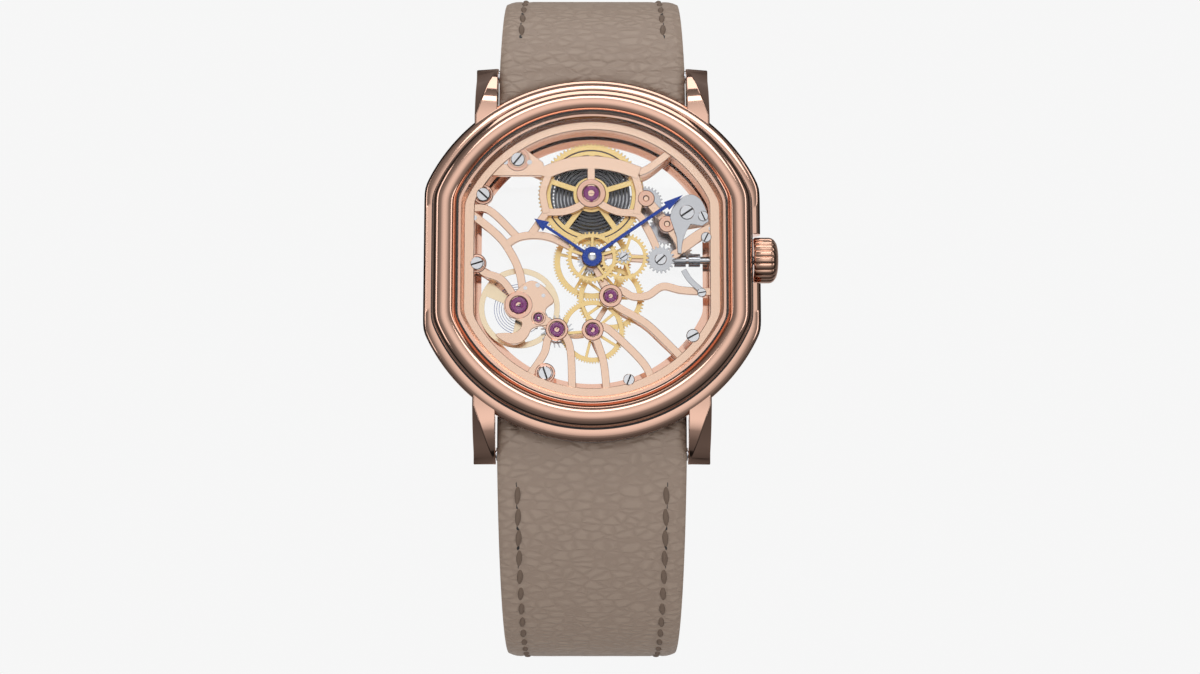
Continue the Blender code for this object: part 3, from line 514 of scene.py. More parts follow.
# (x, radius, share of the flutes' depth)
LAYERS = ((17.0, 2.2, 0), (17.05, 2.3, 1), (17.2, 2.42, 1), (18.7, 2.42, 1), (18.95, 2.36, 1),
          (19.2, 2.2, 0.4),
          (19.45, 1.85, 0), (19.6, 1.3, 0), (19.66, 0.6, 0))
points = []
for x, radius, deep in LAYERS:
    for i, share in enumerate(rim):
        r = radius * (1 - (1 - share) * deep)
        turn = TAU * i / CROWN_POINTS
        points.append((x, STEM_Y + r * math.cos(turn), r * math.sin(turn)))
piece("crown_fluted", [solid(points, tube_faces(len(LAYERS), CROWN_POINTS))], CROWN_GOLD, "crown", "crown",
      sharp=40)

# ---------------------------------------------------------------- front plate
# The plate's bars: (width, line)
FRONT_BARS = [
    (1.4, [(-5.0, 9.2), (-2.6, 10.05), (-0.1, 10.3), (2.5, 9.98), (5.0, 9.15)]),
    (0.58, [(-0.1, 10.3), (-0.1, 6.9)]),
    (0.5, [(-4.6, 9.0), (-5.2, 7.0), (-4.8, 4.8)]), (0.5, [(4.5, 9.0), (5.0, 7.0), (4.7, 4.7)]),
    (0.53, [(-0.1, 6.9), (-1.2, 5.7), (-2.9, 5.0), (-4.8, 4.93)]),
    (0.53, [(-0.1, 6.9), (1.1, 5.7), (2.8, 4.95), (4.8, 4.7), (5.75, 3.3), (6.6, 1.55), (7.2, -0.16)]),
    (0.5, [(-4.8, 4.93), (-6.4, 2.6)]),
    (0.55, [(-8.9, 1.55), (-7.7, 2.25), (-6.1, 2.47), (-4.5, 2.25), (-2.9, 1.55), (0, 0)]),
    (0.85, [(-13.2, 4.9), (-12.3, 4.4), (-9.8, 2.3), (-8.5, 0.47), (-7.66, -1.37), (-7.3, -3.2)]),
    (0.45, [(-13.4, 5.2), (-10.96, 5.2), (-8.0, 2.4)]),
    (0.75, [(-13.4, -0.6), (-12.1, -0.9), (-11.2, -1.6), (-9.8, -2.1), (-8.8, -3.1), (-7.69, -5.0)]),
    (0.65, [(-3.68, -7.57), (-4.6, -8.5), (-5.0, -10.1), (-6.4, -12.2), (-7.2, -12.9)]),
    (0.65, [(-3.68, -7.57), (-2.66, -8.5), (-2.2, -10.3), (-2.07, -14.3)]),
    (0.75, [(0.06, -7.62), (1.17, -10.9), (1.54, -14.3)]),
    (0.6, [(0.06, -7.62), (1.28, -7.3), (3.24, -8.9), (5.5, -11.3), (6.4, -13.3)]),
    (0.75, [(1.95, -4.02), (2.66, -5.15), (5.5, -6.8), (7.66, -8.8), (9.8, -11.0)]),
    (0.6, [(1.95, -4.02), (2.98, -3.4), (4.26, -4.07), (5.85, -3.96), (7.45, -3.0), (9.5, -3.4),
           (13.2, -3.6)]),
    (0.55, [(1.95, -4.02), (0.9, -2.0), (0.0, 0.0)]), (0.6, [(0, 0), (2.0, 0.4), (3.33, 0.1), (7.2, -0.16)]),
    (0.6, [(4.9, 9.2), (6.0, 9.7), (7.6, 10.9), (8.6, 11.8)]),
    (1.1, [(-5.61, -6.35), (-3.68, -7.57)]),
    (0.9, [(7.2, -0.16), (9.3, 1.0), (7.9, 3.66), (5.703, 6.4), (5.0, 7.2)]),
    (1.2, [(9.3, 1.0), (11.5, 2.6), (13.2, 3.4)]),
]
# The cock over the balance, with its crescent tail
COCK = [(-8.1, -3.6), (-7.35, -2.9), (-6.3, -2.4), (-5.1, -3.0), (-4.2, -4.1), (-4.05, -4.7), (-4.8, -5.4),
        (-4.75, -6.1), (-4.1, -6.7), (-4.8, -7.15), (-5.6, -7.25), (-6.35, -7.6), (-6.7, -8.3), (-7.4, -8.95),
        (-8.4, -9.15), (-9.4, -8.75), (-10.1, -8.1), (-9.1, -7.95), (-8.2, -7.95), (-7.55, -7.5),
        (-7.35, -6.9),
        (-7.95, -6.5), (-8.8, -6.15), (-9.25, -5.2), (-9.0, -4.2), (-8.1, -3.6)]
FLANGE = [(-4.7, 8.6), (-5.4, 8.85), (-10.6, 8.85), (-11.4, 7.7), (-12.9, 7.0), (-12.6, 8.0), (-11.0, 9.9),
          (-9.4, 11.4), (-7.6, 12.4), (-6.9, 11.6), (-5.2, 10.3)]
RIM_FRONT, PLATE_FRONT, PLATE_BACK = -4.95, -4.78, -4.15
LEAST_BAR = 0.8
# Each bar stands this much further out than the one before, so that crossing faces never coincide
BAR_STEP = 0.004


def polished_shaded_flanks(obj):
    """Leaves the brushed finish on the flat faces, and polishes the side walls and bevels, whose darker,
    deeper gold is painted shade.
    """
    obj.data.materials.append(BAR_SIDE_SHADED)
    for polygon in obj.data.polygons:
        # Faces turned away from the dial's axis take the darker gold as painted shade.
        polygon.material_index = int(abs(polygon.normal.y) < 0.9)
    obj.modifiers["bevel"].material = 1


def ring_boss(at, outer, inner, y_front, y_back):
    """A ring round a jewel or an axle, with its front edges eased."""
    return turned([(inner, y_front + 0.08), (inner + 0.1, y_front), (outer - 0.08, y_front),
                   (outer, y_front + 0.08),
                   (outer, y_back), (inner, y_back)], at)


shapes = [prism([strip(line, max(width, LEAST_BAR))], PLATE_FRONT + BAR_STEP * i, PLATE_BACK - BAR_STEP * i)
          for i, (width, line) in enumerate(FRONT_BARS)]
shapes.append(prism([FLANGE], PLATE_FRONT - BAR_STEP, PLATE_BACK))
shapes.append(prism([smooth_line(COCK, 4)[:-1], circle(0.93, BALANCE), circle(0.5, PALLET, 24)],
                    PLATE_FRONT - 2 * BAR_STEP, PLATE_BACK))
polished_shaded_flanks(piece("plate_bars", shapes, PLATE, "case", "main_plate", bevel=0.19, segments=2))
piece("plate_rim", [oval_loft([(15.1, 14.0, RIM_FRONT), (13.86, 12.46, RIM_FRONT),
    (13.8, 12.4, RIM_FRONT + 0.06),
                               (13.8, 12.4, -2.0), (15.1, 14.0, -2.0)], True)], PLATE, "case")
# (axis, outer radius, inner radius)
BOSSES = [(BARREL, 1.55, 0.88), (THIRD, 1.23, 0.72), (FOURTH, 1.15, 0.7), (ESCAPE, 1.18, 0.79),
          (PALLET, 0.8, 0.47),
          (BALANCE, 1.48, 0.91), (CENTRE, 1.1, 0.42), ((-7.87, 10.6), 1.3, 0.8), ((-11.5, 6.8), 1.07, 0.78),
          ((-12.1, -0.57), 1.0, 0.75), ((-4.9, -12.2), 1.07, 0.76), (MINUTE, 0.7, 0.3), (SETTING, 1.0, 0.3),
          (IDLER_A, 0.9, 0.24), (IDLER_B, 0.9, 0.24)]
piece("plate_bosses", [ring_boss(at, outer, inner, PLATE_FRONT - 0.05, PLATE_BACK) for at, outer,
                       inner in BOSSES],
      ROSE, "case", sharp=30)

JEWELS = {"barrel": (BARREL, 0.84), "third": (THIRD, 0.68), "fourth": (FOURTH, 0.66),
          "escape": (ESCAPE, 0.75),
          "pallet": (PALLET, 0.43), "balance": (BALANCE, 0.87)}
PIVOT_BODIES = {"barrel": "ratchet", "third": "third", "fourth": "fourth", "escape": "escape",
                "pallet": "pallets", "balance": "balance"}
for label, (at, r) in JEWELS.items():
    stone = turned([(0.14, -4.6), (0.16, -4.66), (r * 0.45, -4.8), (r * 0.75, -4.83), (r * 0.95, -4.8),
                    (r, -4.74),
                    (r, -4.47), (0.14, -4.47)], at)
    piece("ruby_" + label, [stone], RUBY, "case", "jewel_" + label, sharp=50)
    piece("pivot_" + label, [turned([(0, -4.7), (0.09, -4.68), (0.12, -4.6), (0.12, -4.4), (0, -4.4)], at,
                                    segments=20)], BRIGHT, PIVOT_BODIES[label])

# (axis, radius, slot angle)
SCREWS = {1: ((-7.87, 10.6), 0.75, 0.9), 2: ((-11.5, 6.8), 0.74, 2.4), 3: ((-12.1, -0.57), 0.7, 0.3),
          4: ((-4.9, -12.2), 0.72, 1.9)}
for label, (at, r, angle) in SCREWS.items():
    screw(f"screw_{label}", at, r, -5.0, "case", angle, f"plate_screw_{label}")
for i, (at, r, angle) in enumerate([((3.84, -12.9), 0.6, 1.2), ((10.55, -8.27), 0.7, 0.5),
    ((10.0, 4.86), 0.8, 0.6),
                                    ((11.7, 4.45), 0.55, 2.0), ((12.0, 2.2), 0.55, 1.1),
                                        (SETTING, 0.63, 0.75),
                                    ((11.5, -3.7), 0.48, 0.2)]):
    screw(f"small_screw_{i + 1}", at, r, -5.1, "case", angle)
for i, (at, r) in enumerate([((-9.15, 10.3), 0.25), ((-6.63, 10.3), 0.25), ((-12.4, 4.3), 0.27),
    ((11.2, 5.94), 0.24),
                             ((12.5, 3.16), 0.24), ((-5.7, -2.9), 0.24), ((-5.1, -4.0), 0.2),
                                 ((-7.0, -3.2), 0.2)]):
    piece(f"steady_pin_{i + 1}", [rod(at, r, -4.84, -4.5, 24)], BRIGHT, "case")

BRIDGE_FRONT, BRIDGE_BACK = -2.0, -1.55
BRIDGES = {
    "barrel_bridge": ([
        (0.8, [(-5.0, 9.2), (-2.6, 10.05), (-0.1, 10.3), (2.5, 9.98), (5.0, 9.15), (7.6, 10.9), (8.9, 12.1)]),
        (0.6, [(-0.1, 10.3), (-0.1, 6.9)]), (0.8, [(-5.0, 9.2), (-7.87, 10.6), (-9.4, 11.8)]),
        (0.7, [(5.0, 9.15), (5.703, 6.4), (7.9, 3.66), (9.3, 1.0)]), (0.8, [(7.9, 3.66), (13.4, 4.6)]),
    ], [(BARREL, 1.5), (IDLER_A, 0.8), (IDLER_B, 0.8), (CROWN_WHEEL, 0.7)]),
    "train_bridge": ([
        (0.6, [(0, 0), (0.9, -2.0), (1.95, -4.02), (2.66, -5.15), (5.5, -6.8), (7.66, -8.8), (10.2, -11.2)]),
        (0.55, [(1.95, -4.02), (0.06, -7.62), (1.17, -10.9), (1.54, -14.6)]),
        (0.5, [(0.06, -7.62), (-1.8, -7.9), (-3.68, -7.57)]),
        (0.6, [(-3.68, -7.57), (-2.6, -8.9), (-2.2, -10.3), (-2.07, -14.6)]),
    ], [(CENTRE, 0.9), (THIRD, 0.9), (FOURTH, 0.85), (ESCAPE, 0.8)]),
    "balance_bridge": ([(1.0, [(-7.69, -5.0), (-9.8, -2.3), (-12.1, -0.7), (-13.6, -0.5)])],
                       [(BALANCE, 1.2)]),
}
for name, (bars, bosses) in BRIDGES.items():
    shapes = [prism([strip(line, width)], BRIDGE_FRONT + BAR_STEP * i, BRIDGE_BACK - BAR_STEP * i)
              for i, (width, line) in enumerate(bars)]
    shapes += [ring_boss(at, r, 0.42 if at == BARREL else 0.25, BRIDGE_FRONT - 0.05, BRIDGE_BACK) for at,
               r in bosses]
    shapes += [turned([(0.26, -1.58), (r * 0.6, -1.58), (r * 0.6, -1.5), (0.26, -1.5)], at) for at,
               r in bosses]
    polished_shaded_flanks(piece(name + "_finished", shapes, PLATE, "case", name, bevel=0.08))

# ---------------------------------------------------------------- wheels
M_BARREL = 6.9607 / 50.5
M_CENTRE = math.dist(CENTRE, THIRD) / 44
M_THIRD = math.dist(THIRD, FOURTH) / 35
M_FOURTH = math.dist(FOURTH, ESCAPE) / 40
M_MINUTE = math.dist(CENTRE, MINUTE) / 24
M_HOUR = math.dist(CENTRE, MINUTE) / 25
M_SET = math.dist(MINUTE, SETTING) / 28
M_RATCHET = 3.512 / 28


def arbor(at, *steps):
    """A stepped axle from (radius, y) steps."""
    profile = [(0, steps[0][1])] + list(steps) + [(0, steps[-1][1])]
    return turned(profile, at, segments=32)


p_barrel = meshed(21, 0, CENTRE, 80, BARREL)
piece("barrel_teeth", [prism([gear_outline(80, M_BARREL, p_barrel, BARREL), circle(4.85, BARREL, 96)],
    -4.05, -3.75)],
      YELLOW, "barrel", "barrel", bevel=0.03)
piece("barrel_cover", [prism([circle(4.75, BARREL, 96), circle(0.78, BARREL),
                              *windows(BARREL, 1.9, 4.3, 5, 0.6, 0.3)], -4.0, -3.78)], YELLOW, "barrel",
                                  bevel=0.04)
piece("barrel_drum", [turned([(4.84, -3.98), (4.84, -2.8), (4.5, -2.8), (4.5, -3.98)], BARREL, segments=96)],
      DARK, "barrel", sharp=30)
coil = []
for side in (1, -1):
    arm = []
    for i in range(361):
        t = i / 360
        r = 1.0 + 3.4 * t + side * 0.1
        arm.append((BARREL[0] + r * math.cos(TAU * 9 * t), BARREL[1] + r * math.sin(TAU * 9 * t)))
    coil += arm[::side]
piece("mainspring_coil", [prism([coil], -3.6, -2.9)], DARK, "barrel", "mainspring")
piece("arbor_barrel", [arbor(BARREL, (0.2, -4.4), (0.2, -4.08), (0.7, -4.08), (0.7, -2.78), (0.4, -2.78),
    (0.4, -2.05),
                             (0.2, -2.05), (0.2, -1.6))], STEEL, "ratchet", "barrel_arbor", sharp=30)
piece("ratchet_teeth", [prism([gear_outline(65, M_RATCHET, 0, BARREL), circle(0.42, BARREL)], -2.35,
    -2.12)], STEEL,
      "ratchet", "ratchet_wheel", bevel=0.025)
p_a = meshed(65, 0, BARREL, 28, IDLER_A)
p_b = meshed(28, p_a, IDLER_A, 28, IDLER_B)
p_crown = meshed(28, p_b, IDLER_B, 20, CROWN_WHEEL)
for name, teeth, phase, at in (("winding_wheel_a", 28, p_a, IDLER_A), ("winding_wheel_b", 28, p_b, IDLER_B),
                               ("crown_wheel", 20, p_crown, CROWN_WHEEL)):
    front = -4.1 if name != "crown_wheel" else -2.38
    piece(name + "_finished", [prism([gear_outline(teeth, M_RATCHET, phase, at)], -2.35, -2.12),
                               arbor(at, (0.2, front), (0.2, -1.6))], STEEL, name, name, bevel=0.025)

p_third = meshed(80, 0, CENTRE, 8, THIRD)
p_fourth = meshed(60, 0, THIRD, 10, FOURTH)
p_escape = meshed(72, 0, FOURTH, 8, ESCAPE)
# Name, axis, teeth, openings, front, back, arbor (radius, front, back), pinion (leaves, front, back)
TRAIN = [
    ("centre", CENTRE, gear_outline(80, M_CENTRE), windows(CENTRE, 0.75, 3.4, 5, 0.32, 0.4), -2.65, -2.47,
     (0.24, -4.6, -1.6), (gear_outline(21, M_BARREL), -4.08, -3.6)),
    ("third", THIRD, gear_outline(60, M_THIRD, 0, THIRD), windows(THIRD, 0.7, 2.85, 5, 0.3), -3.3, -3.12,
     (0.18, -4.4, -1.6), (gear_outline(8, M_CENTRE, p_third, THIRD), -2.75, -2.37)),
    ("fourth", FOURTH, gear_outline(72, M_FOURTH, 0, FOURTH), windows(FOURTH, 0.7, 2.8, 5, 0.3, 0.7), -3.75,
     -3.58,
     (0.18, -4.4, -1.6), (gear_outline(10, M_THIRD, p_fourth, FOURTH), -3.4, -3.02)),
]
for name, at, teeth, open_parts, front, back, (radius, shaft_front, shaft_back), (leaves, low, high) in TRAIN:
    piece(name + "_rim", [prism([teeth, *open_parts], front, back)], YELLOW, name, name + "_wheel",
          bevel=0.025)
    piece(name + "_arbor", [prism([leaves], low, high), rod(at, radius, shaft_front, shaft_back)], STEEL,
          name,
          sharp=35)
club = []
for k in range(20):
    for share, r in ((0.0, 1.3), (0.3, 1.55), (0.47, 1.75), (0.64, 1.73), (0.6, 1.6), (0.5, 1.3)):
        angle = TAU * (k + share) / 20
        club.append((ESCAPE[0] + r * math.cos(angle), ESCAPE[1] + r * math.sin(angle)))
piece("escape_teeth", [prism([club, *windows(ESCAPE, 0.45, 1.1, 4, 0.2)], -3.25, -3.12),
                       prism([gear_outline(8, M_FOURTH, p_escape, ESCAPE)], -3.85, -3.5),
                       rod(ESCAPE, 0.15, -4.4, -1.6)], STEEL, "escape", "escape_wheel", bevel=0.02)
piece("fork_finished", [prism([strip([PALLET, (-7.05, -5.42)], 0.3)], -3.25, -3.12),
                        prism([strip([(-5.9, -7.3), PALLET, (-4.75, -5.75)], 0.28)], -3.24, -3.13),
                        rod(PALLET, 0.32, -3.26, -3.11), rod(PALLET, 0.13, -4.4, -2.9)],
      STEEL, "pallets", "pallet_fork", bevel=0.02)
piece("pallet_cock", [prism([strip([PALLET, (-5.0, -4.3)], 0.8)], -3.0, -2.88),
                      rod((-5.0, -4.3), 0.35, PLATE_BACK, -2.93)], PLATE, "case", "pallet_bridge", bevel=0.03)
piece("balance_rim", [prism([circle(4.28, BALANCE, 128),
    *windows(BALANCE, 0.75, 3.7, 3, 0.6, 0.5, 30, 2.4)], -2.75,
                            -2.4)], PALE, "balance", "balance_wheel", bevel=0.06, segments=3)
piece("balance_staff", [arbor(BALANCE, (0.15, -4.4), (0.15, -3.2), (0.45, -3.2), (0.45, -2.95), (0.3, -2.95),
                              (0.3, -2.2), (0.15, -2.2), (0.15, -1.6))], STEEL, "balance", sharp=30)
hair = []
for side in (1, -1):
    arm = []
    for i in range(361):
        t = i / 360
        r = 0.5 + 2.3 * t + side * 0.022
        arm.append((BALANCE[0] + r * math.cos(TAU * 9 * t), BALANCE[1] + r * math.sin(TAU * 9 * t)))
    hair += arm[::side]
piece("hairspring_coil", [prism([hair], -2.3, -2.2)], BLUE, "case", "hairspring")

p_minute = meshed(12, 0, CENTRE, 36, MINUTE)
p_hour = meshed(10, 0, MINUTE, 40, CENTRE)
p_set = meshed(36, p_minute, MINUTE, 20, SETTING)
piece("cannon", [turned([(0.27, -5.78), (0.4, -5.78), (0.4, -4.65), (0.27, -4.65)]),
                 prism([gear_outline(12, M_MINUTE), circle(0.3)], -4.97, -4.82)], STEEL, "centre",
                 "cannon_pinion",
      sharp=35)
piece("minute_wheel_rim", [prism([gear_outline(36, M_MINUTE, p_minute, MINUTE),
                                  *windows(MINUTE, 0.85, 2.05, 5, 0.3)], -4.97, -4.83)], YELLOW,
                                      "minute_wheel",
      "minute_wheel", bevel=0.025)
piece("minute_pinion", [prism([gear_outline(10, M_HOUR, 0, MINUTE)], -5.18, -4.9),
                        rod(MINUTE, 0.26, -5.0, -4.2)],
      BRIGHT, "minute_wheel", bevel=0.02)
screw("minute_post", MINUTE, 0.46, -5.24, "minute_wheel", 0.6, depth=0.1)
piece("hour_wheel_rim", [prism([gear_outline(40, M_HOUR, p_hour), *windows(CENTRE, 1.0, 2.15, 5, 0.3, 0.3)],
                               -5.16, -5.02)], YELLOW, "hour", "hour_wheel", bevel=0.025)
piece("hour_pipe", [turned([(0.44, -5.42), (0.62, -5.42), (0.62, -5.02), (0.44, -5.02)])], YELLOW, "hour",
      sharp=30)
piece("setting_teeth", [prism([gear_outline(20, M_SET, p_set, SETTING)], -4.97, -4.83)], STEEL,
      "setting_wheel",
      "setting_wheel", bevel=0.025)


def hand(name, clock_angle, length, width, head_length, head_width, hub, hole, y_front, y_back, body):
    """A flat hand with an arrow head, turned from 12 o'clock by degrees, on its round hub."""
    head = length - head_length
    outline = [(width / 2, 0), (width / 2, head), (head_width / 2, head - 0.02), (0, length),
               (-head_width / 2, head - 0.02), (-width / 2, head), (-width / 2, 0)]
    turn = math.radians(clock_angle)
    placed = [(x * math.cos(turn) + z * math.sin(turn), z * math.cos(turn) - x * math.sin(turn)) for x,
              z in outline]
    middle = [(hole, y_front - 0.02), (hub - 0.04, y_front - 0.02), (hub, y_front + 0.03), (hub, y_back),
              (hole, y_back)]
    piece(name + "_blued", [prism([placed], y_front, y_back), turned(middle)], BLUE, body, name, bevel=0.03)


hand("minute_hand", 55.4, 11.6, 0.36, 2.1, 1.0, 1.05, 0.42, -5.75, -5.6, "centre")
hand("hour_hand", 304.0, 7.35, 0.3, 1.5, 1.2, 0.95, 0.64, -5.45, -5.3, "hour")
piece("hand_cap", [turned([(0, -5.88), (0.3, -5.87), (0.44, -5.82), (0.44, -5.7), (0, -5.7)])], BRIGHT,
      "centre",
      sharp=40)

# ---------------------------------------------------------------- keyless work
PINION_POINTS = 160
for name, low, high in (("winding_pinion", 8.7, 9.9), ("sliding_pinion", 10.2, 11.4)):
    ribbed = []
    for i in range(PINION_POINTS):
        r = 0.7 - 0.13 * (i % 10 in (0, 1, 2, 3))
        turn = TAU * i / PINION_POINTS
        ribbed.append((r * math.cos(turn), r * math.sin(turn)))
    points = [(x, STEM_Y + a, b) for x in (low, high) for a, b in ribbed]
    piece(name + "_ribbed", [solid(points, tube_faces(2, PINION_POINTS))], STEEL, name, name, sharp=30)
piece("stem_turned", [turned([(0, 7.4), (0.25, 7.4), (0.25, 8.5), (0.4, 8.5), (0.4, 13.6), (0.46, 13.6),
    (0.46, 18.1),
                              (0, 18.1)], along="X", y=STEM_Y, segments=32)], STEEL, "stem", "winding_stem",
                                  sharp=30)
piece("spring_plate", [prism([[*smooth_line([(8.2, 4.3), (8.5, 5.4), (9.2, 6.3), (10.4, 6.8), (11.4, 6.3),
    (12.0, 5.2),
                                             (12.3, 3.9)]), (11.6, 3.4), (10.4, 3.6),
                               *smooth_line([(9.9, 2.8), (9.5, 1.6), (9.4, 0.4)]), (9.0, 0.5), (8.9, 2.2)]],
                             -5.02, -4.86)], STEEL, "case", "setting_lever_spring", bevel=0.04)
piece("yoke_arm", [prism([strip([(11.6, -3.6), (10.3, -2.4), (9.6, -1.3)], 0.6)], -5.02, -4.86)], STEEL,
      "case", "yoke",
      bevel=0.04)
piece("tube_sleeve", [turned([(0.93, 14.3), (0.93, 16.75), (0.55, 16.75), (0.55, 14.3)], along="X",
    y=STEM_Y)], STEEL,
      "case", "crown_tube", sharp=30)

# ---------------------------------------------------------------- strap
STITCH_PITCH = 2.15
STITCH_INSET = 2.1
STRAP_HALF = 9.95
STRAP_START = 19.2
POINT_LENGTH = 8
SIDE_LIFTS = (0.6, 0.2, -0.2, -0.6)


def strap_path(start_angle, radius, end_angle, straight, length, tail_turn, steps=60):
    """Points (y, z, heading, run) of a strap's middle line, away from the bar along +Z then back along +Y."""
    y, z, heading, run = BAR_Y, BAR_Z, start_angle, 0.0
    step = length / steps
    path = [(y, z, heading, 0.0)]
    for _ in range(steps):
        if run > straight:
            heading += step / radius if heading < end_angle else tail_turn * step
        y += step * math.sin(heading)
        z += step * math.cos(heading)
        run += step
        path.append((y, z, heading, run))
    return path


LONG_PATH = strap_path(0.0, 19.3, math.radians(90), 1.3, 115, 0.003)
SHORT_PATH = strap_path(math.radians(14), 14.0, math.radians(84), 1.0, 76, 0.0)


def along(path, run):
    """The middle line's place and heading at a distance from the bar; before 0 it runs straight in."""
    if run <= 0:
        y, z, heading, _ = path[0]
        return y + run * math.sin(heading), z + run * math.cos(heading), heading
    step = path[1][3]
    k = min(int(run / step), len(path) - 2)
    t = run / step - k
    a, b = path[k], path[k + 1]
    return tuple(p + (q - p) * t for p, q in zip(a[:3], b[:3]))


def strap_piece(label, path, sign, end_half, pointed):
    """A padded band, crowned and pulled down at its stitched edges, which starts along the case's curve."""
    length = path[-1][3]
    rows, columns = 230, 40

    def half_at(run):
        share = max(0.0, run) / length
        half = STRAP_HALF + (end_half - STRAP_HALF) * min(1, share / 0.85)
        if pointed and run > length - POINT_LENGTH:
            half *= max(0.02, 1 - ((run - length + POINT_LENGTH) / POINT_LENGTH) ** 2.6) ** 0.5
        return half

    def thick_at(run):
        return 0.85 + 0.7 * max(0.0, 1 - max(run, 0) / length / 0.27) ** 1.2

    def surface(run, across, lift):
        """A point at a share across from -1 to 1, lift from -1 (wrist side) to 1 (face side)."""
        y, z, heading = along(path, run)
        x = across * half_at(run)
        edge = min(1.0, (1 - abs(across)) * half_at(run) / 1.5)
        crown = 1 - 0.42 * (1 - edge) ** 2.2
        groove = 0.10 * math.exp(-(((1 - abs(across)) * half_at(run) - STITCH_INSET) / 0.45) ** 2)
        top = thick_at(run) * crown - groove
        up = top * lift * (1 if pointed else 0.8) if lift > 0 else thick_at(run) * lift * (0.75 + 0.25 * edge)
        wave = 0.0
        if lift > 0 and -2.5 < run < 5 and not pointed:
            wave = 0.09 * math.sin(run * 4.2 + 1.1 * math.sin(x * 0.5)) * math.exp(-((run - 1.5) / 2.4) ** 2)
        up += wave
        return (x, y - up * math.cos(heading), sign * (z + up * math.sin(heading)))

    def start_at(across):
        x = across * STRAP_HALF
        return math.sqrt(STRAP_START ** 2 - x * x) - BAR_Z

    points, faces, flats = [], [], []
    ring = [(-1 + 2 * i / columns, 1.0) for i in range(columns + 1)]
    ring += [(1.0, lift) for lift in SIDE_LIFTS]
    ring += [(1 - 2 * i / columns, -1.0) for i in range(columns + 1)]
    ring += [(-1.0, lift) for lift in reversed(SIDE_LIFTS)]
    size = len(ring)
    for k in range(rows + 1):
        s = k / rows
        for across, lift in ring:
            begin = max(start_at(across), -4.1)
            run = begin + (length - begin) * s
            if k == 0:
                lift *= 0.55
            elif k == 1:
                run = begin + 0.12
                lift *= 0.85
            points.append(surface(run, across, lift))
            flats.append((across * half_at(run) / 1000, run / 1000))
    for k in range(rows):
        for i in range(size):
            j = (i + 1) % size
            faces.append((k * size + i, k * size + j, (k + 1) * size + j, (k + 1) * size + i))
    for k in (0, rows):
        base = k * size
        top = list(range(columns + 1))
        under = list(range(2 * columns + 5, columns + 4, -1))
        for i in range(columns):
            faces.append((base + top[i], base + top[i + 1], base + under[i + 1], base + under[i]))
        faces.append(tuple(range(base + columns, base + columns + 6)))
        faces.append((*range(base + 2 * columns + 5, base + 2 * columns + 10), base))
    body = "strap_12" if sign > 0 else "strap_6"
    obj = piece(label, [solid(points, faces)], LEATHER, body, body, sharp=60)
    mesh = obj.data
    layer = mesh.uv_layers.new(name="flat")
    for loop in mesh.loops:
        layer.data[loop.index].uv = flats[loop.vertex_index]
    mesh.materials.append(EDGE)
    mesh.materials.append(LINING)
    for polygon in mesh.polygons:
        indices = [i % size for i in polygon.vertices]
        if all(i >= columns for i in indices) and any(i > columns for i in indices):
            polygon.material_index = 1 if any(
                columns < i < columns + 5 or i > 2 * columns + 5 for i in indices) else 2
        elif any(i > 2 * columns + 5 for i in indices):
            polygon.material_index = 1
    return surface, half_at, length, body


def stitches(name, surface, half_at, first, last, body, slant=0.16):
    """A row of twisted stitches down each side, each dipping into its own dark hole."""
    threads, holes = [], []
    for side in (-1, 1):
        count = int((last - first) / STITCH_PITCH)
        for k in range(count):
            begin = first + k * STITCH_PITCH
            line = []
            for i in range(9):
                t = i / 8
                run = begin + 0.2 + (STITCH_PITCH - 0.4) * t
                across = side * (half_at(run) - STITCH_INSET + slant * (t - 0.5)) / half_at(run)
                x, y, z = surface(run, across, 1.0)
                rise = 0.15 * math.sin(math.pi * t) - 0.09
                here, ahead = surface(run, across, 1.0), surface(run, across, 0.5)
                out = (Vector(here) - Vector(ahead)).normalized()
                line.append(Vector((x, y, z)) + out * rise)
            points = []
            for i, middle in enumerate(line):
                way = (line[min(i + 1, 8)] - line[max(i - 1, 0)]).normalized()
                flat = way.cross(Vector((1, 0, 0))).normalized()
                wide = way.cross(flat).normalized()
                swell = 0.31 * (0.45 + 0.55 * math.sin(math.pi * (i + 0.6) / 9.2))
                for j in range(8):
                    a = TAU * j / 8
                    points.append(middle + wide * swell * math.cos(a) + flat * swell * 0.6 * math.sin(a))
            threads.append(solid(points, tube_faces(len(line), 8)))
            across = side * (half_at(begin) - STITCH_INSET) / half_at(begin)
            middle = Vector(surface(begin, across, 1.0))
            out = (middle - Vector(surface(begin, across, 0.5))).normalized()
            way = (Vector(surface(begin + 0.1, across, 1.0)) - middle).normalized()
            wide = way.cross(out).normalized()
            turns = [TAU * j / 14 for j in range(14)]
            rim = [middle + out * 0.012 + way * 0.27 * math.cos(a) + wide * 0.23 * math.sin(a) for a in turns]
            rim += [p - out * 0.1 for p in rim]
            holes.append(solid(rim, tube_faces(2, 14)))
    piece(name + "_thread", threads, THREAD, body, sharp=80)
    piece(name + "_holes", holes, SHADE, body)


